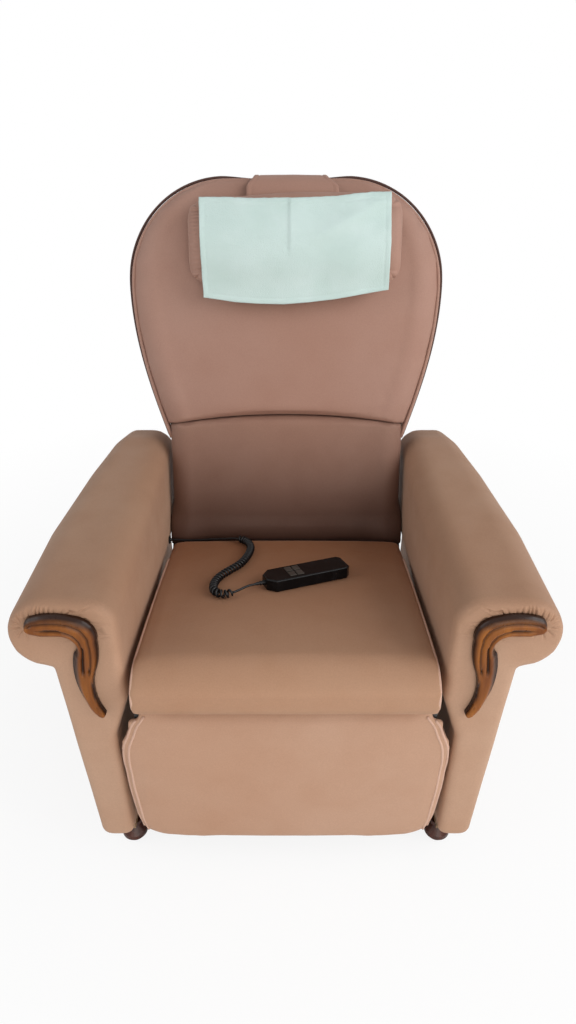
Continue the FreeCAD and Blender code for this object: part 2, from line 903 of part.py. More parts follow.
SEAT_SHARES = (
    # Share of the half width, then the share of the height that is left there
    (1.000, 0.80), (0.990, 0.88), (0.960, 0.935), (0.880, 0.965), (0.600, 0.99), (0.200, 1.0),
)


def seat_ring(x, height):
    nose = -float(dim.seat_nose)
    end = float(dim.seat_length)
    thick = float(dim.seat_thickness + dim.seat_crown * 0.2) * height
    rear = float(dim.seat_rear_thickness) * height
    base = float(dim.seat_thickness) * (1 - height) * 0.18
    nose_back = float(dim.seat_thickness) * 0.32
    crown = float(dim.seat_crown)
    heel = float(dim.seat_rear_thickness) * 0.3
    return ring(
        lambda u, w: FreeCAD.Vector(x, u, w),
        (end - heel * 0.5, base),
        (nose_back * 0.4, base),
        (nose + nose_back * 0.25, base + thick * 0.12, nose, base + thick * 0.42),
        (nose + nose_back * 0.35, thick * 0.85, nose + nose_back * 1.5, thick),
        ((nose + end) / 2, (thick + rear) / 2 + crown, end - heel * 1.2, rear),
        (end - heel * 0.3, rear - heel * 0.35, end, rear - heel * 1.3),
        (end, base + heel * 0.6),
        (end - heel * 0.12, base + heel * 0.18, end - heel * 0.5, base),
    )


def seat_cushion():
    half = float(seat_width / 2)
    stations = [(-share * half, height) for share, height in SEAT_SHARES]
    stations += [(share * half, height) for share, height in reversed(SEAT_SHARES)]
    loft = Part.makeLoft([seat_ring(x, height) for x, height in stations], True, True)
    form("seat_cushion", loft, seat_frame)


seat_cushion()


# Back: two pads on a plywood board, a padded rear cover, and hinge brackets on an axle.
# Its pieces are drawn upright about the axle, with heights above it, and then lean back.


back_top = dim.shoulder_height + dim.back_corner


def half_width(height):
    """Half of the back's width at a height above the axle."""
    waist = float(back_waist)
    shoulder = float(back_shoulder)
    low = float(dim.waist_height)
    high = float(dim.shoulder_height)
    if height <= low:
        return waist
    if height <= high:
        return waist + (shoulder - waist) * math.sin(math.pi / 2 * (height - low) / (high - low))
    corner = float(dim.back_corner)
    over = min((height - high) / corner, 1)
    return shoulder - corner + corner * math.sqrt(1 - over * over)


def pad_ring(height, half, front_face, crown, rear_face, edge, cheek):
    """A level section of a pad: flat behind, with round cheeks and a crowned front."""
    turn = edge * (1 - HALF_TURN_SHARE)
    depth = rear_face - front_face
    way = 1 if depth > 0 else -1
    side = rear_face - way * edge
    bulge_y = side + (front_face - side) * 0.66
    bulge_x = half - cheek * 0.22
    return ring(
        lambda x, y: FreeCAD.Vector(x, y, height),
        (-(half - edge), rear_face),
        (half - edge, rear_face),
        (half - turn, rear_face - way * turn, half, side),
        (bulge_x, bulge_y, half - cheek, front_face),
        (0, front_face - way * crown, -(half - cheek), front_face),
        (-bulge_x, bulge_y, -half, side),
        (-(half - turn), rear_face - way * turn, -(half - edge), rear_face),
    )


UPPER_SHARES = (
    # Share of the pad's height, then the share of its depth that is left there
    (0.00, 0.70), (0.04, 0.90), (0.12, 1.0), (0.28, 1.0), (0.44, 1.0), (0.58, 1.0), (0.70, 0.99),
    (0.80, 0.96), (0.88, 0.90), (0.94, 0.81), (0.975, 0.70), (0.993, 0.58), (1.00, 0.45),
)
LUMBAR_SHARES = (
    (0.00, 0.60), (0.04, 0.80), (0.14, 0.94), (0.40, 1.0), (0.70, 1.0), (0.92, 0.97), (1.00, 0.90),
)
seam_radius = (
    float(lumbar_width / 2) ** 2 + float(dim.seam_crown) ** 2
) / (2 * float(dim.seam_crown))
seam_centre = float(dim.seam_height + dim.seam_crown) - seam_radius


def seam_disc(radius):
    """A disc whose rim is the arched seam between the two pads."""
    deep = float(dim.cover_depth)
    return Part.makeCylinder(
        radius, deep * 2, FreeCAD.Vector(0, -deep, seam_centre), FreeCAD.Vector(0, 1, 0),
    )


def seam_roll(face):
    """The round groove in which the pads' covers are sewn down along the seam."""
    return Part.makeTorus(
        seam_radius, float(dim.seam_groove), FreeCAD.Vector(0, face, seam_centre),
        FreeCAD.Vector(0, 1, 0),
    )


def back_pads():
    rear = float(dim.pad_rear)
    face = -float(dim.pad_front)
    crown = float(dim.pad_crown)
    low = float(dim.seam_height - dim.seam_crown)
    high = float(back_top)
    rings = []
    for share, depth in UPPER_SHARES:
        height = low + (high - low) * share
        here = rear - (rear - face) * depth
        rings.append(pad_ring(
            height, half_width(height), here, crown * depth, rear,
            (rear - face) * depth * 0.2, (rear - face) * depth * 1.15,
        ))
    upper = Part.makeLoft(rings, True, True).cut(seam_disc(seam_radius))
    form("back_pad_upper", upper.cut(seam_roll(face)), back_frame)
    face = face + float(dim.lumbar_recess)
    low = float(dim.pad_bottom)
    high = float(dim.seam_height + dim.seam_crown * 1.2)
    rings = []
    for share, depth in LUMBAR_SHARES:
        height = low + (high - low) * share
        here = rear - (rear - face) * depth
        rings.append(pad_ring(
            height, float(lumbar_width / 2), here, crown * depth, rear,
            (rear - face) * depth * 0.2, (rear - face) * depth * 0.9,
        ))
    lumbar = Part.makeLoft(rings, True, True)
    lumbar = lumbar.common(seam_disc(seam_radius - float(dim.soft_gap)))
    form("back_pad_lumbar", lumbar.cut(seam_roll(face)), back_frame)


back_pads()

board_front = dim.pad_rear + dim.soft_gap
board_rear = board_front + dim.board_thickness


def board_outline(margin):
    """The board's outline, grown by a margin: a balloon with a straight foot."""
    side = board_half_width + margin
    shoulder = back_shoulder - dim.board_inset + margin
    corner = dim.back_corner - dim.board_inset + margin
    top_half = back_shoulder - dim.back_corner
    middle = (dim.waist_height + dim.shoulder_height) / 2
    flare = side + (shoulder - side) * HALF_TURN_SHARE
    bend = corner * HALF_TURN_SHARE
    foot_height = dim.board_bottom - margin
    return (
        (-side, foot_height),
        (side, foot_height),
        (side, dim.waist_height),
        (flare, middle, shoulder, dim.shoulder_height),
        (top_half + bend, dim.shoulder_height + bend, top_half, dim.shoulder_height + corner),
        (-top_half, dim.shoulder_height + corner),
        (-top_half - bend, dim.shoulder_height + bend, -shoulder, dim.shoulder_height),
        (-flare, middle, -side, dim.waist_height),
    )


def back_board():
    """The plywood panel that both pads and the rear cover are fixed to."""
    body = new_body("back_board")
    pad(body, draw(body, "XZ_Plane", *board_outline(zero), offset=-board_rear),
        dim.board_thickness, midplane=False)
    holes = []
    for column in (-1, 1):
        for level in range(4):
            height = dim.seam_height * 0.5 + dim.board_hole_pitch * level
            holes.append((column * dim.board_hole_pitch * 0.62, height, dim.board_hole_radius))
    pocket(body, draw_circles(body, "XZ_Plane", holes, offset=-board_rear - dim.overrun),
           dim.board_thickness + dim.overrun * 2, midplane=False, backwards=True)
    on_back(body)


back_board()

COVER_SHARES = (
    (0.00, 0.55), (0.025, 0.75), (0.08, 0.92), (0.28, 1.0), (0.46, 1.0), (0.60, 1.0), (0.72, 0.99),
    (0.82, 0.95), (0.90, 0.87), (0.955, 0.76), (0.985, 0.62), (1.00, 0.45),
)


def back_cover():
    """The padded rear cover, hollowed for the board and its hinge brackets."""
    face = float(board_front)
    depth = float(dim.cover_depth)
    low = float(dim.cover_bottom)
    high = float(back_top) - float(dim.soft_gap) * 10
    rings = []
    for share, left in COVER_SHARES:
        height = low + (high - low) * share
        here = face + depth * left
        rings.append(pad_ring(
            height, half_width(height) - float(dim.soft_gap) * 10, here,
            float(dim.cover_crown) * left, face, depth * left * 0.12, depth * left * 0.8,
        ))
    solid = Part.makeLoft(rings, True, True)
    gap = dim.soft_gap
    outline = ring(lambda x, z: vector(x, 0, z), *board_outline(gap))
    hollow = Part.Face(outline).extrude(vector(0, board_rear + gap, 0))
    side = board_half_width + dim.bracket_thickness + gap
    hollow = hollow.fuse(block(
        -side, side, 0, board_rear + dim.rail_wall + gap,
        dim.cover_bottom - dim.overrun, dim.bracket_height + gap,
    ))
    form("back_cover", solid.cut(hollow), back_frame)


back_cover()


def back_bracket(label, side):
    """A steel hinge plate along the board's edge, with a hub on the axle."""
    body = new_body(label)
    behind = board_rear + dim.rail_wall
    pad(body, draw(
        body, "YZ_Plane",
        (dim.hub_radius * 0.6, -dim.hub_radius * 0.7),
        (behind, dim.hub_radius * 0.6),
        (behind, dim.bracket_height),
        (board_front, dim.bracket_height),
        (board_front, dim.hub_radius * 1.1),
        (-dim.hub_radius * 0.6, dim.hub_radius * 0.7),
    ), dim.bracket_thickness)
    pad(body, draw_circles(body, "YZ_Plane", [(0, 0, dim.hub_radius)]), dim.bracket_thickness)
    bore = dim.back_axle_radius + dim.running_gap
    pocket(body, draw_circles(body, "YZ_Plane", [(0, 0, bore)]),
           dim.bracket_thickness + dim.overrun)
    x = side * (board_half_width + dim.bracket_thickness / 2 + dim.running_gap)
    place(body, x, back_axis[0], back_axis[1], LEAN, dim.back_rake)


def axle(label, radius, axis):
    """A tube across the chair that turns in the bores of both seat plates."""
    body = new_body(label)
    length = plate_gap + (dim.plate_thickness + dim.axle_overhang) * 2
    pad(body, draw_circles(body, "YZ_Plane", [(0, 0, radius)]), length)
    pocket(body, draw_circles(body, "YZ_Plane", [(0, 0, radius - dim.axle_wall)]),
           length + dim.overrun)
    place(body, 0, axis[0], axis[1])


back_bracket("back_bracket_left", -1)
back_bracket("back_bracket_right", 1)
axle("back_axle", dim.back_axle_radius, back_axis)
axle("legrest_axle", dim.leg_axle_radius, leg_axis)


# Headrest: a pillow on a strap over the top of the back, with a weight behind.


pillow_bottom = back_top - dim.pillow_drop - dim.pillow_height
strap_end = pillow_bottom + dim.strap_tuck
weight_bottom = back_top - dim.weight_drop - dim.weight_height


def pillow_ring(x, share, grow, fold=0.0):
    """An upright section of the pillow, or of a layer that lies on it."""
    low = float(pillow_bottom)
    tall = float(dim.pillow_height)
    middle = low + tall / 2
    half = tall / 2 * (0.9 + 0.1 * share) + grow
    deep = float(dim.pillow_depth) * share + grow + fold
    back_face = -float(dim.pad_front + dim.pad_crown + dim.strap_thickness + dim.soft_gap * 2)
    return ring(
        lambda y, z: FreeCAD.Vector(x, y, z),
        (back_face, middle - half * 0.80),
        (back_face - deep * 0.35, middle - half, back_face - deep * 0.72, middle - half * 0.72),
        (back_face - deep, middle, back_face - deep * 0.72, middle + half * 0.72),
        (back_face - deep * 0.35, middle + half, back_face, middle + half * 0.80),
    )


PILLOW_SHARES = (
    (1.00, 0.42), (0.985, 0.62), (0.94, 0.80), (0.84, 0.92), (0.60, 0.99), (0.20, 1.0),
)


def head_pillow():
    half = float(dim.pillow_width / 2)
    shift = float(dim.pillow_shift)
    stations = [(shift - share * half, deep) for share, deep in PILLOW_SHARES]
    stations += [(shift + share * half, deep) for share, deep in reversed(PILLOW_SHARES)]
    rings = [pillow_ring(x, deep, 0) for x, deep in stations]
    form("head_pillow", Part.makeLoft(rings, True, True), back_frame)


TOWEL_SHARES = (
    # Share of the half width, the pillow's depth there, and the share of a fold's height
    (-1.00, 0.93, 0.30), (-0.86, 0.955, 0.10), (-0.62, 0.985, 0.85), (-0.36, 0.996, 0.15),
    (-0.06, 1.0, 1.00), (0.06, 1.0, 0.20), (0.40, 0.995, 0.10), (0.66, 0.98, 0.90),
    (0.88, 0.95, 0.10), (1.00, 0.925, 0.50),
)


def head_towel():
    """A thin towel over the pillow's face, hanging a little below it in soft folds."""
    half = float(dim.towel_width / 2)
    gap = float(dim.soft_gap) * 7
    thick = float(dim.towel_thickness)
    low = float(pillow_bottom)
    tall = float(dim.pillow_height)
    back_face = -float(dim.pad_front + dim.pad_crown + dim.strap_thickness + dim.soft_gap * 2)
    rings = []
    for share, deep_share, fold_share in TOWEL_SHARES:
        x = float(dim.pillow_shift) + share * half
        fold = float(dim.towel_fold) * fold_share
        deep = float(dim.pillow_depth) * deep_share + gap + fold
        middle = low + tall / 2
        high = middle + tall / 2 * 0.78
        hem = low - float(dim.towel_hang)
        inner = back_face - deep
        outer = inner - thick
        lift = float(dim.pillow_depth) * 0.28
        belly = middle - tall / 2 * 0.72
        rings.append(ring(
            lambda y, z: FreeCAD.Vector(x, y, z),
            (inner + lift - fold, high),
            (inner, middle, inner + lift * 0.9 - fold, belly),
            (inner + lift * 1.5, (belly + hem) / 2, inner + lift * 1.75, hem),
            (outer + lift * 1.75, hem),
            (outer + lift * 1.5, (belly + hem) / 2, outer + lift * 0.9 - fold, belly),
            (outer, middle, outer + lift - fold, high),
        ))
    towel = Part.makeLoft(rings, True, True)
    form("head_towel", towel, back_frame)


def headrest_strap():
    """A wide band from behind the pillow, over the top of the back and down behind it."""
    body = new_body("headrest_strap")
    gap = dim.soft_gap
    top = back_top + gap
    near = -dim.pad_front - dim.pad_crown - gap
    far = board_front + dim.cover_depth + dim.cover_crown + gap
    thick = dim.strap_thickness
    bend = dim.pillow_drop
    ease = bend * (1 - HALF_TURN_SHARE)
    pad(body, draw(
        body, "YZ_Plane",
        (near, strap_end),
        (near, top - bend),
        (near + ease, top - ease, near + bend, top),
        (far - bend, top),
        (far - ease, top - ease, far, top - bend),
        (far, strap_end),
        (far + thick, strap_end),
        (far + thick, top - bend),
        (far - ease + thick * HALF_TURN_SHARE, top - ease + thick * HALF_TURN_SHARE,
         far - bend, top + thick),
        (near + bend, top + thick),
        (near + ease - thick * HALF_TURN_SHARE, top - ease + thick * HALF_TURN_SHARE,
         near - thick, top - bend),
        (near - thick, strap_end),
    ), dim.strap_width)
    place(body, dim.pillow_shift, back_axis[0], back_axis[1], LEAN, dim.back_rake)


def headrest_weight():
    """A sand pouch on the strap's rear end, which balances the pillow."""
    body = new_body("headrest_weight")
    near = (
        board_front + dim.cover_depth + dim.cover_crown + dim.strap_thickness + dim.soft_gap * 2
    )
    outline = rectangle(
        near + dim.weight_depth / 2, weight_bottom + dim.weight_height / 2,
        dim.weight_depth, dim.weight_height,
    )
    pad(body, draw(body, "YZ_Plane", *outline), dim.weight_width)
    round_edges(body, lambda edge: edge.CenterOfMass.y > float(near), dim.weight_depth * 0.42)
    place(body, dim.pillow_shift, back_axis[0], back_axis[1], LEAN, dim.back_rake)


head_pillow()
head_towel()
headrest_strap()
headrest_weight()


# Legrest: a padded panel that hangs from its own axle under the seat's nose.

LEGREST_SHARES = (
    # Share of the half width, of the length that is left there, and of the depth
    (1.00, 0.50, 0.62), (0.985, 0.66, 0.75), (0.95, 0.80, 0.86), (0.88, 0.90, 0.93),
    (0.76, 0.965, 0.97), (0.55, 0.995, 0.99), (0.15, 1.0, 1.0),
)


def legrest_ring(x, length, depth):
    roll = float(dim.roll_radius) * (0.3 + 0.7 * depth)
    deep = float(dim.legrest_depth) * depth
    low = -float(dim.legrest_length) * length
    edge = deep * 0.75
    turn = edge * (1 - HALF_TURN_SHARE)
    return ring(
        lambda y, z: FreeCAD.Vector(x, y, z),
        (0, roll),
        (-roll * HALF_TURN_SHARE, roll * HALF_TURN_SHARE, -roll, 0),
        (-deep, low * 0.5, -deep * 0.97, low + edge),
        (-deep * 0.97 + turn, low + turn, -deep * 0.97 + edge, low),
        (0, low),
    )


def legrest_pad():
    half = float(legrest_width / 2)
    stations = [(-share * half, length, depth) for share, length, depth in LEGREST_SHARES]
    stations += [(share * half, length, depth) for share, length, depth in reversed(LEGREST_SHARES)]
    solid = Part.makeLoft([legrest_ring(*station) for station in stations], True, True)
    gap = dim.soft_gap
    roll = dim.roll_radius + dim.overrun
    for side in (-1, 1):
        # Beside the seat plates the roll is cut away round the lugs and above them.
        near = side * (plate_gap / 2 - dim.notch_room)
        ends = sorted((float(near), float(side * legrest_width)))
        above = block(ends[0], ends[1], -roll * 2, roll * 2, 0, roll * 2)
        above.rotate(FreeCAD.Vector(), TILT, -float(dim.notch_slant))
        solid = solid.cut(above)
        solid = solid.cut(bar(
            dim.lug_radius + gap * 4, vector(near, 0, 0), vector(side * legrest_width, 0, 0),
        ))
        # Towards its ends the pad narrows, so that it swings up clear of the padded arms.
        start = side * (legrest_width / 2 - dim.pad_narrowing)
        widening = dim.pad_narrowing + dim.overrun
        solid = solid.cut(Part.makeCone(
            float(roll), float(roll + widening * 2), float(widening), vector(start, 0, 0),
            FreeCAD.Vector(side, 0, 0),
        ))
    reach = plate_gap
    solid = solid.cut(bar(dim.leg_axle_radius + gap, vector(-reach, 0, 0), vector(reach, 0, 0)))
    room = dim.lever_thickness / 2 + gap * 2
    for x in (-dim.leg_bracket_spacing / 2, dim.leg_bracket_spacing / 2, dim.motor_spacing / 2):
        solid = solid.cut(bar(
            dim.hub_radius * 1.2, vector(x - room, 0, 0), vector(x + room, 0, 0),
        ))
    form("legrest_pad", solid, leg_frame)


def legrest_board():
    """The plywood panel behind the pad."""
    body = new_body("legrest_board")
    half = legrest_width / 2 - dim.leg_board_margin
    top = -dim.notch_drop
    low = -dim.legrest_length * 0.94
    corner = dim.leg_board_corner
    ease = corner * (1 - HALF_TURN_SHARE)
    pad(body, draw(
        body, "XZ_Plane",
        (-half, top), (-half, low + corner),
        (-half + ease, low + ease, -half + corner, low),
        (half - corner, low),
        (half - ease, low + ease, half, low + corner),
        (half, top),
        offset=-dim.leg_board_thickness - dim.soft_gap,
    ), dim.leg_board_thickness, midplane=False)
    place(body, 0, leg_axis[0], leg_axis[1])


def legrest_brackets():
    """Two steel arms that carry the board on the axle."""
    arms = []
    rear = dim.leg_board_thickness + dim.soft_gap + dim.running_gap
    for number, side in enumerate((-1, 1), start=1):
        arm = document.addObject("PartDesign::Body", f"LegArm{number}")
        pad(arm, draw(
            arm, "YZ_Plane",
            (-dim.hub_radius * 0.3, -dim.hub_radius * 0.8),
            (rear, -dim.notch_drop * 0.9),
            (rear, -dim.leg_bracket_length),
            (rear + dim.hub_radius * 0.7, -dim.leg_bracket_length),
            (rear + dim.hub_radius, -dim.notch_drop * 2),
            (dim.hub_radius * 0.9, dim.hub_radius * 0.4),
        ), dim.bracket_thickness)
        pad(arm, draw_circles(arm, "YZ_Plane", [(0, 0, dim.hub_radius)]), dim.bracket_thickness)
        bore = dim.leg_axle_radius + dim.running_gap
        pocket(arm, draw_circles(arm, "YZ_Plane", [(0, 0, bore)]),
               dim.bracket_thickness + dim.overrun)
        place(arm, side * dim.leg_bracket_spacing / 2, leg_axis[0], leg_axis[1])
        arms.append(arm)
    group = document.addObject("Part::Compound", "LegArms")
    group.Links = arms
    keep(group, "legrest_arms")


legrest_pad()
legrest_board()
legrest_brackets()


# Motors. Each pushes a rod whose cross pin rides in a slotted lever on a hinge axle.


def lever_pin(axis, reach, angle):
    """The cross pin's place at rest, from the lever's angle behind straight down."""
    return axis[0] + reach * sine(angle), axis[1] - reach * cosine(angle)


back_pin = lever_pin(back_axis, dim.back_lever_reach, dim.back_lever_angle)
leg_pin = lever_pin(leg_axis, dim.leg_lever_reach, 90 - dim.leg_lever_angle)


def pin_path(axis, pin, pivot, travel, count=12):
    """The cross pin's places as the lever sees them, from one end of its travel to the other."""
    centre = complex(float(axis[0]), float(axis[1]))
    start = complex(float(pin[0]), float(pin[1])) - centre
    root = complex(float(pivot[0]), float(pivot[1])) - centre
    swing = -math.radians(float(travel))
    finish = start * complex(math.cos(swing), math.sin(swing))
    lengths = (abs(start - root), abs(finish - root))
    turn = math.atan2(
        ((finish - root) / (start - root)).imag, ((finish - root) / (start - root)).real,
    )
    places = []
    for step in range(count + 1):
        share = step / count
        length = lengths[0] + (lengths[1] - lengths[0]) * share
        angle = turn * share
        arm = (start - root) / lengths[0] * length * complex(math.cos(angle), math.sin(angle))
        lever_turn = -swing * share
        places.append((root + arm) * complex(math.cos(lever_turn), math.sin(lever_turn)))
    return places


def lever(label, x, axis, pin, pivot, travel, axle_radius):
    """A plate on the axle, slotted along the whole path of the cross pin."""
    path = pin_path(axis, pin, pivot, travel)
    outer = float(dim.fork_pin_radius + dim.lever_wall)
    slot_radius = float(dim.fork_pin_radius + dim.running_gap * 2)
    thick = float(dim.lever_thickness)
    start = path[0]
    far = max(path, key=lambda point: abs(point - start))
    along = (far - start) / abs(far - start)

    def disc(centre, radius):
        where = FreeCAD.Vector(-thick / 2, centre.real, centre.imag)
        return Part.makeCylinder(radius, thick, where, FreeCAD.Vector(1, 0, 0))

    def strip(first, last, width_first, width_last):
        side = (last - first) / abs(last - first) * 1j
        corners = (
            first + side * width_first, last + side * width_last,
            last - side * width_last, first - side * width_first,
        )
        points = [FreeCAD.Vector(-thick / 2, corner.real, corner.imag) for corner in corners]
        face = Part.Face(Part.makePolygon(points + points[:1]))
        return face.extrude(FreeCAD.Vector(thick, 0, 0))

    hub = float(dim.hub_radius)
    solid = disc(0, hub).fuse([
        disc(start, outer), disc(far, outer), strip(start, far, outer, outer),
        strip(complex(0, 0), start, hub, outer), strip(complex(0, 0), far, hub, outer),
    ]).removeSplitter()
    drift = max(abs(((point - start) / along).imag) for point in path)
    room = slot_radius + drift
    solid = solid.cut([
        disc(start, room), disc(far, room), strip(start, far, room, room),
        disc(0, float(axle_radius + dim.running_gap)),
    ])
    form(label, solid, FreeCAD.Placement(vector(x, axis[0], axis[1]), FreeCAD.Rotation()))


lever("back_lever", -dim.motor_spacing / 2, back_axis, back_pin, back_pivot,
      dim.back_travel, dim.back_axle_radius)
lever("legrest_lever", dim.motor_spacing / 2, leg_axis, leg_pin, leg_pivot,
      dim.leg_travel, dim.leg_axle_radius)


def motor(prefix, x, side, pivot, pin, shortest):
    """A gearbox with its motor, the outer tube, and the rod with its fork and pin."""
    rise = pin[1] - pivot[1]
    run = pin[0] - pivot[0]
    angle = slope_of(rise, run) + Size("360 deg", 360)
    span = span_of(rise, run)
    housing = new_body(prefix + "_motor")
    block_middle = (dim.gearbox_start + dim.gearbox_end) / 2
    block_long = dim.gearbox_end - dim.gearbox_start
    wide = dim.gearbox_width + dim.gearbox_side
    pad(housing, draw(
        housing, "XY_Plane",
        *rectangle(side * dim.gearbox_side / 2, block_middle, wide, block_long),
    ), dim.gearbox_height)
    round_edges(housing, lambda edge: True, dim.gearbox_start * 0.3)
    lug = dim.pin_radius * 2
    thick = dim.pin_radius * 3
    pad(housing, draw(
        housing, "YZ_Plane",
        (zero, -lug), (dim.gearbox_start * 1.5, -lug), (dim.gearbox_start * 1.5, lug), (zero, lug),
    ), thick)
    pad(housing, draw_circles(housing, "YZ_Plane", [(0, 0, lug)]), thick)
    pad(housing, draw_circles(
        housing, "XZ_Plane", [(side * dim.gearbox_side, 0, dim.motor_radius)],
        offset=-dim.gearbox_end + dim.overrun,
    ), dim.motor_length, midplane=False, backwards=True)
    pocket(housing, draw_circles(
        housing, "YZ_Plane", [(0, 0, dim.pin_radius + dim.running_gap)],
    ), thick + dim.overrun)

    tube = new_body(prefix + "_tube")
    tube_end = shortest - dim.fork_length - dim.soft_gap
    tube_start = dim.gearbox_end
    pad(tube, draw_circles(
        tube, "XZ_Plane", [(0, 0, dim.tube_radius)], offset=-tube_start,
    ), tube_end - tube_start, midplane=False, backwards=True)
    pocket(tube, draw_circles(
        tube, "XZ_Plane", [(0, 0, dim.tube_bore)], offset=-tube_start,
    ), tube_end - tube_start - dim.tube_gland, midplane=False, backwards=False)
    pocket(tube, draw_circles(
        tube, "XZ_Plane", [(0, 0, dim.rod_radius + dim.running_gap)],
        offset=-tube_start,
    ), tube_end - tube_start + dim.overrun, midplane=False, backwards=False)

    rod = new_body(prefix + "_rod")
    rod_start = tube_start + dim.rod_inside
    fork_start = span - dim.fork_length
    pad(rod, draw_circles(rod, "XZ_Plane", [(0, 0, dim.rod_radius)], offset=-rod_start),
        fork_start - rod_start + dim.overrun, midplane=False, backwards=True)
    fork_end = span + dim.fork_pin_radius * 2
    pad(rod, draw(
        rod, "XY_Plane",
        *rectangle(zero, (fork_start + fork_end) / 2, dim.fork_width, fork_end - fork_start),
    ), dim.fork_height)
    slot = dim.lever_thickness + dim.fork_room * 2
    slot_start = fork_start + dim.fork_length * 0.3
    pocket(rod, draw(
        rod, "XY_Plane",
        *rectangle(zero, (slot_start + fork_end + dim.overrun) / 2, slot,
                   fork_end + dim.overrun - slot_start),
    ), dim.fork_height + dim.overrun)
    pad(rod, draw_circles(rod, "YZ_Plane", [(span, 0, dim.fork_pin_radius)]),
        dim.fork_width + dim.overrun)
    for body in (housing, tube, rod):
        place(body, x, pivot[0], pivot[1], TILT, angle)


def shortest_span(axis, pin, pivot, travel):
    """The least distance from a motor's pivot to its cross pin, at either end of the travel."""
    ends = []
    for turn in (zero, travel):
        y = pin[0] - axis[0]
        z = pin[1] - axis[1]
        end_y = axis[0] + y * cosine(turn) + z * sine(turn)
        end_z = axis[1] + z * cosine(turn) - y * sine(turn)
        ends.append(span_of(end_z - pivot[1], end_y - pivot[0]))
    return min(ends, key=float)


motor("back", -dim.motor_spacing / 2, -1, back_pivot, back_pin,
      shortest_span(back_axis, back_pin, back_pivot, dim.back_travel))
motor("legrest", dim.motor_spacing / 2, 1, leg_pivot, leg_pin,
      shortest_span(leg_axis, leg_pin, leg_pivot, dim.leg_travel))


def motor_pins():
    """The two pins that hold the motors' rear lugs in the rails' ears."""
    pins = []
    length = dim.pin_radius * 3 + dim.hanger_thickness * 2 + dim.overrun * 2
    for number, (x, pivot) in enumerate((
        (-dim.motor_spacing / 2, back_pivot), (dim.motor_spacing / 2, leg_pivot),
    ), start=1):
        pin = document.addObject("Part::Cylinder", f"MotorPin{number}")
        pin.setExpression("Radius", dim.pin_radius.text)
        pin.setExpression("Height", length.text)
        place(pin, x - length / 2, pivot[0], pivot[1], FreeCAD.Vector(0, 1, 0), 90)
        pins.append(pin)
    group = document.addObject("Part::Compound", "MotorPins")
    group.Links = pins
    keep(group, "motor_pins")


motor_pins()


# Control box: a lidded tray on the rear rail, with the socket that the mains lead plugs into.


def control_box():
    wall = dim.box_wall
    body = new_body("control_box")
    pad(body, draw(body, "XY_Plane", *rectangle(zero, zero, dim.box_width, dim.box_depth)),
        dim.box_height, midplane=False)
    round_edges(body, lambda edge: abs(edge.tangentAt(0).z) > HALF_TURN_SHARE, wall * 2)
    pocket(body, draw(
        body, "XY_Plane",
        *rectangle(zero, zero, dim.box_width - wall * 2, dim.box_depth - wall * 2),
        offset=dim.box_height,
    ), dim.box_height - wall, midplane=False)
    inlet = rectangle(zero, dim.box_height / 2, dim.inlet_width, dim.inlet_height)
    pocket(body, draw(body, "XZ_Plane", *inlet, offset=-dim.box_depth / 2),
           wall * 2, midplane=False, backwards=True)
    lid = new_body("control_box_lid")
    pad(lid, draw(lid, "XY_Plane", *rectangle(zero, zero, dim.box_width, dim.box_depth)),
        wall, midplane=False)
    round_edges(lid, lambda edge: abs(edge.tangentAt(0).z) > HALF_TURN_SHARE, wall * 2)
    inlet_body = new_body("mains_inlet")
    outer = rectangle(
        zero, zero, dim.inlet_width - dim.running_gap * 2, dim.inlet_height - dim.running_gap * 2,
    )
    pad(inlet_body, draw(inlet_body, "XZ_Plane", *outer), dim.inlet_depth, midplane=False)
    inside = rectangle(zero, zero, dim.inlet_width - wall * 1.4, dim.inlet_height - wall * 1.4)
    pocket(inlet_body, draw(inlet_body, "XZ_Plane", *inside), dim.inlet_depth - wall,
           midplane=False, backwards=True)
    blades = [(sign * dim.inlet_width * 0.2, zero, wall / 3) for sign in (-1, 1)]
    pad(inlet_body, draw_circles(inlet_body, "XZ_Plane", blades, offset=dim.inlet_depth - wall / 2),
        dim.inlet_depth - wall, midplane=False, backwards=True)
    x = -dim.motor_spacing
    y = front + dim.rear_rail_back + dim.rail_depth / 2 + dim.box_depth / 2
    z = dim.rear_rail_up - dim.box_height / 2
    place(body, x, y, z)
    place(lid, x, y, z + dim.box_height)
    place(inlet_body, x, y + dim.box_depth / 2, z + dim.box_height / 2)


control_box()


# Handset: two shells, a circuit board and four spring keys, lying on the seat.

handset_rise = (dim.seat_thickness + dim.seat_rear_thickness) / 2 + dim.handset_lift
handset_pitch = slope_of(dim.seat_thickness - dim.seat_rear_thickness, dim.seat_length * 0.9)
handset_frame = seat_frame.multiply(FreeCAD.Placement(
    vector(dim.handset_x, dim.handset_back, handset_rise),
    FreeCAD.Rotation(LEAN, float(handset_pitch)),
))
handset_frame = handset_frame.multiply(FreeCAD.Placement(
    FreeCAD.Vector(), FreeCAD.Rotation(FreeCAD.Vector(0, 0, 1), float(dim.handset_turn)),
))


def handset_outline(margin):
    """A long rectangle with cut corners, and a narrower end where the cord enters."""
    long = dim.handset_length / 2 - margin
    wide = dim.handset_width / 2 - margin
    cut = dim.handset_chamfer
    small = cut / 2
    return (
        (-long, -wide + cut), (-long + cut, -wide), (long - small, -wide), (long, -wide + small),
        (long, wide - small), (long - small, wide), (-long + cut, wide), (-long, wide - cut),
    )


def key_centres():
    for column in (-1, 1):
        for row_sign in (-1, 1):
            yield (
                -dim.key_centre + column * dim.key_pitch_x / 2, row_sign * dim.key_pitch_y / 2,
            )


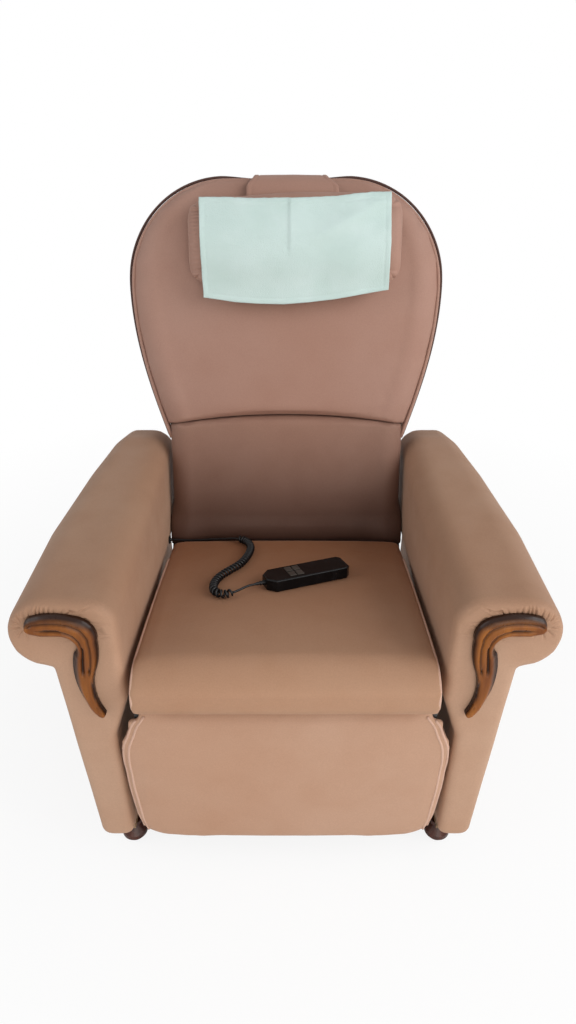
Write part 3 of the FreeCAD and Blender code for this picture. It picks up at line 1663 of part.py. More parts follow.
def handset():
    wall = dim.handset_wall
    half = dim.handset_half
    for label, low in (("handset_lower", zero), ("handset_upper", half)):
        body = new_body(label)
        pad(body, draw(body, "XY_Plane", *handset_outline(zero), offset=low), half,
            midplane=False)
        outer_face = 0 if label == "handset_lower" else float(half) * 2
        round_edges(
            body, lambda edge: abs(edge.CenterOfMass.z - outer_face) < float(wall) / 2,
            dim.handset_edge,
        )
        if label == "handset_lower":
            pocket(body, draw(body, "XY_Plane", *handset_outline(wall), offset=half),
                   half - wall, midplane=False)
        else:
            pocket(body, draw(body, "XY_Plane", *handset_outline(wall), offset=half),
                   half - wall, midplane=False, backwards=True)
            for x, y in key_centres():
                hole = rectangle(
                    x, y, dim.key_length + dim.key_gap * 2, dim.key_width + dim.key_gap * 2,
                )
                pocket(body, draw(body, "XY_Plane", *hole, offset=half * 2), wall + dim.key_gap,
                       midplane=False)
        body.Placement = handset_frame
    circuit = new_body("handset_circuit")
    under_keys = half * 2 - wall - dim.key_flange - dim.key_travel - dim.key_gap * 2
    margin = wall + dim.soft_gap
    pad(circuit, draw(
        circuit, "XY_Plane", *handset_outline(margin), offset=under_keys - dim.circuit_thickness,
    ), dim.circuit_thickness, midplane=False)
    circuit.Placement = handset_frame
    for number, (x, y) in enumerate(key_centres(), start=1):
        key = new_body(f"key_{number}")
        flange_low = half * 2 - wall - dim.key_flange - dim.key_gap
        flange = rectangle(x, y, dim.key_length + dim.key_flange, dim.key_width + dim.key_flange)
        pad(key, draw(key, "XY_Plane", *flange, offset=flange_low), dim.key_flange,
            midplane=False)
        cap = rectangle(x, y, dim.key_length, dim.key_width)
        pad(key, draw(key, "XY_Plane", *cap, offset=flange_low),
            dim.key_flange + dim.key_gap + wall + dim.key_proud, midplane=False)
        top = float(half * 2 + dim.key_proud)
        round_edges(
            key, lambda edge: abs(edge.CenterOfMass.z - top) < float(dim.key_gap),
            dim.key_proud / 2,
        )
        key.Placement = handset_frame


handset()


# Handset cord: a gland on the left arm, a straight lead, a curly stretch and a short tail.

CORD_LEAD = (
    (-252, 70, 422), (-237, 70, 422), (-214, 68, 421), (-188, 65.5, 424.6), (-160, 61.5, 428.6),
    (-134, 55.5, 433), (-116, 50, 438.9), (-106, 48, 439.5),
)
CURL_AXIS = (
    (-106, 48, 439.5), (-88, 38, 442), (-76, 14, 447), (-73, -8, 450.8), (-78, -44, 457.8),
    (-90, -82, 464.5), (-112, -110, 469), (-129, -136, 473), (-136, -162, 477),
    (-134.6, -186, 481), (-125, -198.5, 482.6), (-110.5, -202, 483), (-95, -195, 482.2),
)
CORD_TAIL = (
    (-95, -195, 482.2), (-86, -187, 481.5), (-77, -179.5, 481.8), (-67.2, -174.1, 482.3),
)
CORNER_SHARE = 0.45
CURLS = 38
CURL_SIDES = 4
QUARTERS = 4
END_PITCH_SHARE = 2.2


def cord_tube(label, points, radius):
    """A cord along straight runs joined by tangent arcs, whose least radius is printed."""
    edges = []
    radii = []
    here = points[0]
    for before, corner, after in zip(points, points[1:], points[2:]):
        way_in = (corner - before).normalize()
        way_out = (after - corner).normalize()
        half_turn = way_in.getAngle(way_out) / 2
        cut = CORNER_SHARE * min((corner - before).Length, (after - corner).Length)
        radii.append(cut / math.tan(half_turn))
        start = corner - way_in * cut
        end = corner + way_out * cut
        reach = radii[-1] / math.cos(half_turn) - radii[-1]
        edges.append(Part.LineSegment(here, start).toShape())
        edges.append(Part.Arc(start, corner + (way_out - way_in).normalize() * reach, end).toShape())
        here = end
    edges.append(Part.LineSegment(here, points[-1]).toShape())
    section = Part.Circle(points[0], points[1] - points[0], radius).toShape()
    tube = Part.Wire(edges).makePipeShell([Part.Wire(section)], True, False)
    length = sum(edge.Length for edge in edges)
    share = tube.Volume / (math.pi * radius * radius * length)
    print(f"{label}: length {length:.1f}, least radius {min(radii):.1f}, volume share {share:.4f}")
    form(label, tube)


def arc_edge(start, way, end):
    """The arc that leaves one point in a given direction and ends at another."""
    chord = end - start
    half_turn = way.getAngle(chord)
    beyond = way - chord.normalize() * way.dot(chord.normalize())
    length = (end - start).Length
    rise = beyond.normalize() * (length / 2 * math.tan(half_turn / 2))
    return Part.Arc(start, (start + end) * 0.5 + rise, end).toShape()


def biarc(start, way_in, end, way_out):
    """Two arcs that join two points and keep the given directions there."""
    chord = end - start
    both = way_in + way_out
    spread = 4 - both.dot(both)
    reach = chord.dot(both)
    size = (math.sqrt(reach * reach + spread * chord.dot(chord)) - reach) / spread
    from_start = start + way_in * size
    from_end = end - way_out * size
    joint = (from_start + from_end) * 0.5
    return [
        arc_edge(start, way_in, joint), arc_edge(joint, (from_end - from_start).normalize(), end),
    ]


class Curls:
    """The curly stretch: a helix about a smooth line, whose ends run in to that line."""

    def __init__(self, axis, radius):
        self.line = Part.BSplineCurve()
        self.line.interpolate([vector(*point) for point in axis])
        self.length = self.line.length()
        self.radius = radius
        self.wire = float(dim.cord_diameter)
        self.pitch = (self.length - 2 * self.wire) / (CURLS - 2 + 2 * END_PITCH_SHARE)

    def point(self, turns):
        """A point of the helix after so many turns."""
        last = CURLS - turns
        inner = min(max(turns - 1, 0), CURLS - 2)
        ends = min(turns, 1) + max(turns - CURLS + 1, 0)
        along = self.wire + self.pitch * (inner + ends * END_PITCH_SHARE)
        where = self.line.parameterAtDistance(along, self.line.FirstParameter)
        centre = self.line.value(where)
        way = self.line.tangent(where)[0]
        upright = (FreeCAD.Vector(0, 0, 1) - way * way.z).normalize()
        across = way.cross(upright)
        grown = min(turns, last, 1)
        radius = self.radius * grown * grown * (3 - 2 * grown)
        angle = 2 * math.pi * turns
        return centre + upright * (radius * math.cos(angle)) + across * (radius * math.sin(angle))

    def way(self, turns):
        step = 0.5 / CURL_STEPS
        return (self.point(min(turns + step, CURLS)) - self.point(max(turns - step, 0))).normalize()

    def self_gap(self):
        """The least gap between two stretches of the cord that are over half a turn apart."""
        points = [self.point(number / CURL_STEPS) for number in range(CURLS * CURL_STEPS + 1)]
        least = self.length
        for number, point in enumerate(points):
            for other in points[number + CURL_STEPS // 2:number + CURL_STEPS * 2]:
                least = min(least, (other - point).Length)
        return least - self.wire

    def path(self):
        """The helix on biarcs of a quarter turn, with a straight stretch at each end."""
        steps = CURLS * QUARTERS
        points = [self.point(number / QUARTERS) for number in range(steps + 1)]
        ways = [self.way(number / QUARTERS) for number in range(steps + 1)]
        ways[0] = (points[0] - self.line.value(self.line.FirstParameter)).normalize()
        ways[-1] = (self.line.value(self.line.LastParameter) - points[-1]).normalize()
        edges = [Part.LineSegment(points[0] - ways[0] * self.wire, points[0]).toShape()]
        for number in range(steps):
            edges += biarc(points[number], ways[number], points[number + 1], ways[number + 1])
        edges.append(Part.LineSegment(points[-1], points[-1] + ways[-1] * self.wire).toShape())
        return edges


CURL_STEPS = 24


def curly_cord(label, axis):
    """The curly stretch as one unbroken tube; gives back the centres of its two end faces."""
    wire_radius = float(dim.cord_diameter / 2)
    curls = Curls(axis, float(dim.curl_diameter / 2) - wire_radius)
    edges = curls.path()
    start = edges[0].valueAt(edges[0].FirstParameter)
    way = edges[0].tangentAt(edges[0].FirstParameter)
    corner = (FreeCAD.Vector(0, 0, 1) - way * way.z).normalize() * wire_radius
    corners = []
    for number in range(CURL_SIDES + 1):
        turn = FreeCAD.Rotation(way, 360 * (number % CURL_SIDES) / CURL_SIDES)
        corners.append(start + turn.multVec(corner))
    tube = Part.Wire(edges).makePipeShell([Part.makePolygon(corners)], True, False)
    length = sum(edge.Length for edge in edges)
    radii = [edge.Curve.Radius for edge in edges if hasattr(edge.Curve, "Radius")]
    print(f"{label}: length {length:.1f}, pitch {curls.pitch:.2f}, least radius {min(radii):.2f}, "
          f"least gap to itself {curls.self_gap():.2f}")
    form(label, tube)
    return start, edges[-1].valueAt(edges[-1].LastParameter)


def cord_gland():
    """The grommet where the cord comes out of the left arm."""
    body = new_body("cord_gland")
    cord = dim.cord_diameter / 2
    revolve(body, draw(
        body, "XZ_Plane",
        (0, 0), (dim.gland_radius, 0), (dim.gland_radius, dim.gland_length * 0.35),
        (cord * 1.8, dim.gland_length * 0.5), (cord * 1.3, dim.gland_length),
        (0, dim.gland_length),
    ))
    place(body, -seat_gap / 2, CORD_LEAD[0][1], CORD_LEAD[0][2], FreeCAD.Vector(0, 1, 0), 90)


def handset_relief():
    """The tapered sleeve on the handset's end, with three ribs."""
    body = new_body("handset_relief")
    cord = dim.cord_diameter / 2
    long = dim.relief_length
    wide = dim.relief_radius
    revolve(body, draw(
        body, "XZ_Plane",
        (0, 0), (wide, 0), (wide, long * 0.20), (wide * 0.75, long * 0.24),
        (wide * 0.75, long * 0.34), (wide * 0.88, long * 0.38), (wide * 0.84, long * 0.52),
        (cord * 1.35, long * 0.56), (cord * 1.35, long * 0.66), (cord * 1.6, long * 0.70),
        (cord * 1.5, long * 0.84), (cord * 1.25, long * 0.88), (cord * 1.25, long), (0, long),
    ))
    body.Placement = handset_frame.multiply(FreeCAD.Placement(
        vector(-dim.handset_length / 2, 0, dim.handset_half),
        FreeCAD.Rotation(FreeCAD.Vector(0, 1, 0), -90),
    ))
    return body.Placement.multVec(vector(0, 0, long))


cord_gland()
relief_tip = handset_relief()
curl_start, curl_end = curly_cord("cord_curl", CURL_AXIS)
cord_radius = float(dim.cord_diameter / 2)
cord_tube("cord_lead", [vector(*point) for point in CORD_LEAD[:-1]] + [curl_start], cord_radius)
cord_tube("cord_tail", [curl_end] + [vector(*point) for point in CORD_TAIL[1:]] + [relief_tip],
          cord_radius)


# Every object is checked before the pieces are written, one file for each node.

document.recompute()
for thing in document.Objects:
    for state in thing.State:
        if state in ("Invalid", "Error"):
            raise RuntimeError(f"{thing.Name} ({thing.Label}) is {state}")
for piece in pieces:
    if piece.Shape.isNull() or not piece.Shape.isValid():
        raise RuntimeError(f"{piece.Label} has no valid shape")
os.makedirs("parts", exist_ok=True)
for piece in pieces:
    piece.Shape.exportStep(f"parts/{piece.Label}.step")
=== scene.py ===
import math

import bmesh
import bpy
import numpy as np
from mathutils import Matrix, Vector, noise
from mathutils.bvhtree import BVHTree


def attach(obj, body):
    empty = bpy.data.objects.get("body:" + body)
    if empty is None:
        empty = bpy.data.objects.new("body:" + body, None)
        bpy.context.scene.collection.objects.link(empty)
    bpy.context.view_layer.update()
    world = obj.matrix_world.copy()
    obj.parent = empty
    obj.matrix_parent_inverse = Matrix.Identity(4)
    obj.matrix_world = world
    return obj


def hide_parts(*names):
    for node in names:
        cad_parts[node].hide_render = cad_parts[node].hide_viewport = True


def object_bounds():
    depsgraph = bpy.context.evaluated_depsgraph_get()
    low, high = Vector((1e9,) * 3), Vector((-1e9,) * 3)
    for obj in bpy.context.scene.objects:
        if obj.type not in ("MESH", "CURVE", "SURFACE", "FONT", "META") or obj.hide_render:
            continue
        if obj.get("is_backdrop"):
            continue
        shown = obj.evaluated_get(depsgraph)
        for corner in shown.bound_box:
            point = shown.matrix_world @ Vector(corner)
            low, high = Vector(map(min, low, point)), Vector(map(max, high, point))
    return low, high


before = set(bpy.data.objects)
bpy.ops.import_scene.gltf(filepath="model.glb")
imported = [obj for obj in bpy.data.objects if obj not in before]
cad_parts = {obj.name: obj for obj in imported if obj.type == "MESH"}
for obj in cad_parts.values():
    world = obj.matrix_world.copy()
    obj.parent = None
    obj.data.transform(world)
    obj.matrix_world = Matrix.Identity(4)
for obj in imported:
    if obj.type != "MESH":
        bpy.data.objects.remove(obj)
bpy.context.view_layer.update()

# Camera: a wide phone lens held at standing height in front of the chair, looking down at the
# seat. The photograph's frame is 576 by 1024.
bpy.ops.object.camera_add(location=(0.004, -1.217, 1.279), rotation=(math.radians(58.6), 0, 0))
camera = bpy.context.object
camera.data.sensor_width = 36
camera.data.lens = 24.61
camera.data.clip_start = 0.05
bpy.context.scene.camera = camera

# Floor and studio light: a pale floor, a broad soft window in front of the chair, a low one just
# over the floor, one high on the right, a weaker one on the left and a soft surround.
def feed(tree, value, socket):
    """Sets a socket to a colour or a number, or links it to what gives one."""
    if isinstance(value, tuple):
        socket.default_value = (*value[:3], 1)
    elif isinstance(value, (float, int)):
        socket.default_value = value
    else:
        tree.links.new(value, socket)


def worked(tree, operation, *values):
    """What an operation gives for its values."""
    made = tree.nodes.new("ShaderNodeMath")
    made.operation = operation
    for value, socket in zip(values, made.inputs):
        feed(tree, value, socket)
    return made.outputs[0]


def ramp(tree, value, low, high, floor_value=0.0, roof_value=1.0):
    """Spreads a value between two levels."""
    made = tree.nodes.new("ShaderNodeMapRange")
    for label, level in (("From Min", low), ("From Max", high), ("To Min", floor_value),
                         ("To Max", roof_value), ("Value", value)):
        feed(tree, level, made.inputs[label])
    return made.outputs["Result"]


def mixed(tree, share, lit, plain, sink):
    """Sends a lit shader and a share of a plain one to an output."""
    made = tree.nodes.new("ShaderNodeMixShader")
    for value, socket in zip((share, lit.outputs[0], plain.outputs[0]), made.inputs):
        tree.links.new(value, socket)
    tree.links.new(made.outputs[0], tree.nodes[sink].inputs["Surface"])


def soft_window(name, location, lean, turn, energy, wide, high=None, color=(1, 1, 1)):
    """A large soft light: square, or as high as is said."""
    bpy.ops.object.light_add(type="AREA", location=location,
                             rotation=(math.radians(lean), 0, math.radians(turn)))
    made = bpy.context.object
    made.name = name
    made.data.energy = energy
    made.data.size = wide
    made.data.color = color
    if high:
        made.data.shape = "RECTANGLE"
        made.data.size_y = high


bpy.ops.object.select_all(action="DESELECT")
bpy.ops.mesh.primitive_plane_add(size=24, location=(0, 4, 0))
floor = bpy.context.object
floor.name = "studio_floor"
floor_finish = bpy.data.materials.new("pale_floor")
floor_finish.use_nodes = True
tree = floor_finish.node_tree
paint = tree.nodes["Principled BSDF"]
paint.inputs["Base Color"].default_value = (0.86, 0.86, 0.86, 1)
paint.inputs["Roughness"].default_value = 0.7
glow = tree.nodes.new("ShaderNodeEmission")
glow.inputs["Color"].default_value = (1, 1, 1, 1)
seen = tree.nodes.new("ShaderNodeLightPath")
spot = tree.nodes.new("ShaderNodeTexCoord")
away = tree.nodes.new("ShaderNodeVectorMath")
away.operation = "DISTANCE"
away.inputs[1].default_value = (0, -4, 0)
tree.links.new(spot.outputs["Object"], away.inputs[0])
whiter = ramp(tree, away.outputs["Value"], 0.4, 1.8, 0.86)
whiter = worked(tree, "MULTIPLY", seen.outputs["Is Camera Ray"], whiter)
mixed(tree, whiter, paint, glow, "Material Output")
floor.data.materials.append(floor_finish)
floor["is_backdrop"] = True

soft_window("front_window", (0.9, -3.0, 1.7), 73, 16, 27, 2.6, 1.6, (1.0, 0.96, 0.90))
soft_window("low_window", (0.1, -2.3, 0.34), 90, 0, 8, 2.4, 0.6, (1.0, 0.93, 0.86))
soft_window("side_window", (2.5, -1.1, 2.1), 55, 66, 58, 2.2)
soft_window("left_window", (-2.4, -0.9, 1.9), 55, -66, 22, 2.0)
sky = bpy.data.worlds.new("soft_surround")
bpy.context.scene.world = sky
sky.use_nodes = True
tree = sky.node_tree
soft = tree.nodes["Background"]
soft.inputs["Color"].default_value = (0.93, 0.96, 1.0, 1)
soft.inputs["Strength"].default_value = 0.30
white = tree.nodes.new("ShaderNodeBackground")
white.inputs["Color"].default_value = (1, 1, 1, 1)
seen = tree.nodes.new("ShaderNodeLightPath")
either = worked(tree, "MAXIMUM", seen.outputs["Is Camera Ray"], seen.outputs["Is Glossy Ray"])
mixed(tree, either, soft, white, "World Output")
bpy.context.scene.view_settings.view_transform = "Standard"

# Handset cord: black rubber over fine wires. It comes out between the seat and the left arm as
# a straight lead, is wound into a tight coil on the seat and ends straight in the handset.
CORD_LEAD = (
    (-0.252, 0.070, 0.422), (-0.237, 0.070, 0.422), (-0.214, 0.068, 0.421),
    (-0.188, 0.0655, 0.4246), (-0.160, 0.0615, 0.4286), (-0.134, 0.0555, 0.433),
    (-0.116, 0.050, 0.4389), (-0.106, 0.048, 0.4395),
)
CORD_CURL = (
    (-0.088, 0.038, 0.442), (-0.076, 0.014, 0.447), (-0.073, -0.008, 0.4508),
    (-0.078, -0.044, 0.4578), (-0.090, -0.082, 0.4645), (-0.112, -0.110, 0.469),
    (-0.129, -0.136, 0.473), (-0.136, -0.162, 0.477), (-0.1346, -0.186, 0.481),
    (-0.125, -0.1985, 0.4826), (-0.1105, -0.202, 0.483),
)
CORD_TAIL = (
    (-0.095, -0.195, 0.4822), (-0.086, -0.187, 0.4815), (-0.077, -0.1795, 0.4818),
    (-0.0672, -0.1741, 0.4823), (-0.0566, -0.16967, 0.48181),
)
CORD_WIDE = 0.0044
COIL_RADIUS = 0.0063
COIL_TURNS = 38
TURN_POINTS = 16
LOOK_ALONG = 0.002


def placed(name, data):
    """A new object in the scene."""
    made = bpy.data.objects.new(name, data)
    bpy.context.scene.collection.objects.link(made)
    return made


def round_line(name, points, radius, resolution, closed=False):
    """A smooth round line that follows the points, or a bare one where the radius is 0."""
    line = bpy.data.curves.new(name, "CURVE")
    line.dimensions = "3D"
    spline = line.splines.new("NURBS")
    spline.points.add(len(points) - 1)
    for here, point in zip(spline.points, points):
        here.co = (*point, 1)
    spline.order_u = 3
    spline.use_endpoint_u = not closed
    spline.use_cyclic_u = closed
    spline.resolution_u = resolution
    line.resolution_u = resolution
    line.bevel_depth = radius
    line.bevel_resolution = 3
    line.use_fill_caps = True
    return placed(name, line)


def runs(path):
    """How far along a path each of its points lies."""
    return np.concatenate([[0], np.cumsum(np.linalg.norm(np.diff(path, axis=0), axis=1))])


def place_at(path, run, distance):
    """The place at a distance along a path."""
    distance = min(max(distance, 0), run[-1])
    return np.array([np.interp(distance, run, column) for column in path.T])


route = round_line("cord_route", CORD_LEAD + CORD_CURL + CORD_TAIL, 0, 12)
bpy.context.view_layer.update()
way = bpy.data.meshes.new_from_object(route)
middle = np.array([vertex.co for vertex in way.vertices])
bpy.data.objects.remove(route)
first, last = (int(np.argmin(np.linalg.norm(middle - np.array(end), axis=1)))
               for end in (CORD_LEAD[-1], CORD_TAIL[0]))
axis = middle[first:last + 1]
run = runs(axis)
count = COIL_TURNS * TURN_POINTS
coil = []
for step in range(count + 1):
    share = step / count
    along = run[-1] * share
    ahead, behind = (place_at(axis, run, along + look) for look in (LOOK_ALONG, -LOOK_ALONG))
    tangent = Vector(ahead - behind).normalized()
    side = tangent.cross(Vector((0, 0, 1))).normalized()
    rise = side.cross(tangent)
    grown = min(min(share, 1 - share) * COIL_TURNS, 1)
    grown = grown * grown * (3 - 2 * grown)
    angle = 2 * math.pi * COIL_TURNS * share
    off = (rise * math.cos(angle) + side * math.sin(angle)) * COIL_RADIUS * grown
    coil.append(tuple(Vector(place_at(axis, run, along)) + off))
cord = round_line("handset_cord", CORD_LEAD[:-1] + tuple(coil) + CORD_TAIL[1:], CORD_WIDE / 2, 2)


def finish(name, color=(0.5, 0.5, 0.5), roughness=0.5):
    """A material with its surface shader, and the object's own coordinates beside it."""
    made = bpy.data.materials.new(name)
    made.use_nodes = True
    surface = made.node_tree.nodes["Principled BSDF"]
    surface.inputs["Base Color"].default_value = (*color, 1)
    surface.inputs["Roughness"].default_value = roughness
    place = made.node_tree.nodes.new("ShaderNodeTexCoord")
    return made, made.node_tree, surface, place.outputs["Object"]


def shader_group(name, **inputs):
    """A node group that reads a Vector and named colours and values, and gives a Color, a
    Roughness and a Height."""
    made = bpy.data.node_groups.new(name, "ShaderNodeTree")
    made.interface.new_socket("Vector", in_out="INPUT", socket_type="NodeSocketVector")
    for label, value in inputs.items():
        kind = "NodeSocketColor" if isinstance(value, tuple) else "NodeSocketFloat"
        made.interface.new_socket(label, in_out="INPUT", socket_type=kind).default_value = value
    for label, kind in (("Color", "Color"), ("Roughness", "Float"), ("Height", "Float")):
        made.interface.new_socket(label, in_out="OUTPUT", socket_type="NodeSocket" + kind)
    return made, made.nodes.new("NodeGroupInput").outputs, made.nodes.new("NodeGroupOutput").inputs


def textured(tree, kind, vector, scale, detail=2.0):
    """A procedural texture node that reads the vector."""
    made = tree.nodes.new("ShaderNodeTex" + kind)
    feed(tree, scale, made.inputs["Scale"])
    if "Detail" in made.inputs:
        made.inputs["Detail"].default_value = detail
    tree.links.new(vector, made.inputs["Vector"])
    return made


def blended(tree, share, first_color, second_color, mode="MIX"):
    """One colour over another."""
    made = tree.nodes.new("ShaderNodeMix")
    made.data_type = "RGBA"
    made.blend_type = mode
    for value, socket in ((share, 0), (first_color, 6), (second_color, 7)):
        feed(tree, value, made.inputs[socket])
    return made.outputs[2]


def relief(tree, surface, height, strength, distance):
    """Gives a surface shader the relief of a height."""
    made = tree.nodes.new("ShaderNodeBump")
    made.inputs["Strength"].default_value = strength
    made.inputs["Distance"].default_value = distance
    tree.links.new(height, made.inputs["Height"])
    tree.links.new(made.outputs["Normal"], surface.inputs["Normal"])


def grouped_finish(name, group, color, roughness, bump, distance, **inputs):
    """A finish whose colour, roughness and relief come from a group."""
    made, tree, surface, where = finish(name, color, roughness)
    body = tree.nodes.new("ShaderNodeGroup")
    body.node_tree = group
    for label, value in inputs.items():
        feed(tree, value, body.inputs[label])
    tree.links.new(where, body.inputs["Vector"])
    tree.links.new(body.outputs["Color"], surface.inputs["Base Color"])
    tree.links.new(body.outputs["Roughness"], surface.inputs["Roughness"])
    relief(tree, surface, body.outputs["Height"], bump, distance)
    return made, tree, surface, where


# Scuffs and speckle of moulded plastic and rubber, used by the cord, the handset and the motors.
moulded, source, sink = shader_group(
    "moulded_surface", Color=(0.02, 0.02, 0.02, 1), Worn=(0.08, 0.08, 0.08, 1),
    Fine=1200.0, Smooth=0.2, Dull=0.45)
large = textured(moulded, "Noise", source["Vector"], 35, 5)
dust = ramp(moulded, large.outputs["Fac"], 0.52, 0.78)
moulded.links.new(blended(moulded, dust, source["Color"], source["Worn"]), sink["Color"])
shine = moulded.nodes.new("ShaderNodeMix")
moulded.links.new(dust, shine.inputs[0])
moulded.links.new(source["Smooth"], shine.inputs[2])
moulded.links.new(source["Dull"], shine.inputs[3])
moulded.links.new(shine.outputs[0], sink["Roughness"])
small = textured(moulded, "Noise", source["Vector"], source["Fine"])
moulded.links.new(small.outputs["Fac"], sink["Height"])


def plastic(name, color, worn, fine, smooth, dull, bump, specular=0.5, metallic=0.0):
    """A plastic, rubber or metal finish with worn and dusty patches."""
    made, _, surface, _ = grouped_finish(name, moulded, color, smooth, bump, 0.0004, Color=color,
                                         Worn=worn, Fine=fine, Smooth=smooth, Dull=dull)
    surface.inputs["Specular IOR Level"].default_value = specular
    surface.inputs["Metallic"].default_value = metallic
    return made


def coat(skin, *names):
    """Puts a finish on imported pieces."""
    for name in names:
        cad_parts[name].data.materials.clear()
        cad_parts[name].data.materials.append(skin)


cord_rubber = plastic("cord_rubber", (0.004, 0.004, 0.005), (0.012, 0.012, 0.013),
                      900, 0.3, 0.5, 0.15, specular=0.3)
cord.data.materials.append(cord_rubber)
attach(cord, "seat_base")
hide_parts("cord_lead", "cord_curl", "cord_tail")
coat(cord_rubber, "cord_gland", "handset_relief")

# Handset: two glossy black shells that close on a circuit board, with four soft grey keys near
# the cord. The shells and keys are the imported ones, in a moulded finish.
handset_gloss = plastic("handset_gloss", (0.003, 0.003, 0.0035), (0.008, 0.008, 0.009),
                        1800, 0.2, 0.3, 0.04, specular=0.16)
key_rubber = plastic("key_rubber", (0.045, 0.036, 0.030), (0.07, 0.058, 0.05),
                     1500, 0.5, 0.62, 0.2, specular=0.25)
board_green = plastic("board_green", (0.02, 0.11, 0.04), (0.05, 0.16, 0.07), 700, 0.35, 0.5, 0.3)
coat(handset_gloss, "handset_lower", "handset_upper")
coat(board_green, "handset_circuit")
coat(key_rubber, "key_1", "key_2", "key_3", "key_4")

# Upholstery: one smooth synthetic cover material in several tones of dusty tan, used by every
# padded piece; the arm, seat and lumbar copies also carry painted shade. It has a fine close grain,
# faded patches and darker handled areas.
cover_group, source, sink = shader_group(
    "cover_surface", Color=(0.4, 0.25, 0.2, 1), Faded=(0.5, 0.35, 0.28, 1),
    Handled=(0.3, 0.18, 0.13, 1))
wide = textured(cover_group, "Noise", source["Vector"], 2.2, 3)
mottle = textured(cover_group, "Noise", source["Vector"], 16, 5)
fleck = textured(cover_group, "Noise", source["Vector"], 420, 3)
fade = ramp(cover_group, wide.outputs["Fac"], 0.34, 0.74)
tone = blended(cover_group, fade, source["Color"], source["Faded"])
rub = ramp(cover_group, mottle.outputs["Fac"], 0.45, 0.85, 0.0, 0.22)
tone = blended(cover_group, rub, tone, source["Handled"])
speck = ramp(cover_group, fleck.outputs["Fac"], 0.3, 0.75, 0.95, 1.04)
grey = cover_group.nodes.new("ShaderNodeCombineColor")
for socket in grey.inputs:
    cover_group.links.new(speck, socket)
tone = blended(cover_group, 1.0, tone, grey.outputs[0], "MULTIPLY")
cover_group.links.new(tone, sink["Color"])
dullness = ramp(cover_group, mottle.outputs["Fac"], 0.3, 0.75, 0.52, 0.68)
cover_group.links.new(dullness, sink["Roughness"])
grain = textured(cover_group, "Voronoi", source["Vector"], 640)
grain.feature = "F1"
pores = textured(cover_group, "Noise", source["Vector"], 1500, 2)
height = worked(cover_group, "MULTIPLY_ADD", grain.outputs["Distance"], 0.6, pores.outputs["Fac"])
cover_group.links.new(height, sink["Height"])


def cover_finish(name, color, faded, handled, painted_shade=None):
    """The cover material in one of its tones, darker where hands and backs have rubbed it. One with
    painted shade darkens along an axis, between two places, to a share of its colour."""
    made, tree, surface, where = grouped_finish(name, cover_group, color, 0.6, 0.22, 0.0006,
                                                Color=color, Faded=faded, Handled=handled)
    if painted_shade:
        axis_name, low, high, darkest = painted_shade
        parts = tree.nodes.new("ShaderNodeSeparateXYZ")
        tree.links.new(where, parts.inputs[0])
        depth = ramp(tree, parts.outputs[axis_name], low, high)
        tone = surface.inputs["Base Color"].links[0].from_socket
        tone = blended(tree, depth, tone, blended(tree, 1.0, tone, darkest, "MULTIPLY"))
        tree.links.new(tone, surface.inputs["Base Color"])
    surface.inputs["Sheen Weight"].default_value = 0.08
    surface.inputs["Sheen Roughness"].default_value = 0.45
    surface.inputs["Sheen Tint"].default_value = (1.0, 0.84, 0.74, 1)
    surface.inputs["Specular IOR Level"].default_value = 0.2
    return made


cover_tan = cover_finish("cover_tan", (0.46, 0.268, 0.176), (0.50, 0.315, 0.222),
                         (0.38, 0.200, 0.120))
# Arm cover: painted shade, darker on the tops of the rolls above 0.50 to 0.62 high.
cover_arm = cover_finish("cover_arm", (0.45, 0.265, 0.172), (0.49, 0.315, 0.218),
                         (0.34, 0.180, 0.108), ("Z", 0.50, 0.62, (0.80, 0.76, 0.72)))
cover_rose = cover_finish("cover_rose", (0.37, 0.208, 0.156), (0.40, 0.245, 0.196),
                          (0.30, 0.152, 0.110))
cover_brown = cover_finish("cover_brown", (0.30, 0.175, 0.122), (0.34, 0.215, 0.158),
                           (0.22, 0.115, 0.070))
# Seat cover: painted shade, darker towards the back of the seat.
cover_seat = cover_finish("cover_seat", (0.41, 0.232, 0.143), (0.43, 0.257, 0.165),
                          (0.33, 0.158, 0.078), ("Y", -0.42, 0.02, (0.66, 0.48, 0.35)))
# Lumbar cover: its darker colour is painted shade, and it is painted darker still towards the seat.
cover_lumbar = cover_finish("cover_lumbar", (0.285, 0.155, 0.112), (0.30, 0.180, 0.138),
                            (0.20, 0.100, 0.070), ("Z", 0.66, 0.43, (0.26, 0.21, 0.19)))
cover_piping = cover_finish("cover_piping", (0.56, 0.355, 0.262), (0.62, 0.42, 0.33),
                            (0.44, 0.26, 0.18))
# Points this near are merged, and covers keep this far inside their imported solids
MERGE = 0.00002
SKIN = 0.0004
# A filling: its slack at the start, its frames, and how far it may dent, swell and creep
SLACK, FILL_FRAMES, DENT, SWELL, CREEP = 0.001, 10, 0.0015, 0.006, 0.0015
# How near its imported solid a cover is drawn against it, and how tightly
REACH, TIGHT = 0.025, 0.75


def pick(*objects):
    """Selects only these objects, and makes the first one active."""
    bpy.ops.object.select_all(action="DESELECT")
    for thing in objects:
        thing.select_set(True)
    bpy.context.view_layer.objects.active = objects[0]


def mended(mesh, recalculate=False):
    """Merges a mesh's loose points, and turns its faces outwards where that is asked."""
    work = bmesh.new()
    work.from_mesh(mesh)
    bmesh.ops.remove_doubles(work, verts=work.verts, dist=MERGE)
    if recalculate:
        bmesh.ops.recalc_face_normals(work, faces=work.faces)
    work.to_mesh(mesh)
    work.free()


def space_of(piece):
    """The space inside a piece, to measure in."""
    return BVHTree.FromObject(piece, bpy.context.evaluated_depsgraph_get())


def positions(piece):
    """The places of a mesh's points."""
    spots = np.empty(len(piece.data.vertices) * 3)
    piece.data.vertices.foreach_get("co", spots)
    return spots.reshape(-1, 3)


def move_to(piece, spots):
    """Puts a mesh's points in place."""
    piece.data.vertices.foreach_set("co", np.asarray(spots, float).ravel())
    piece.data.update()


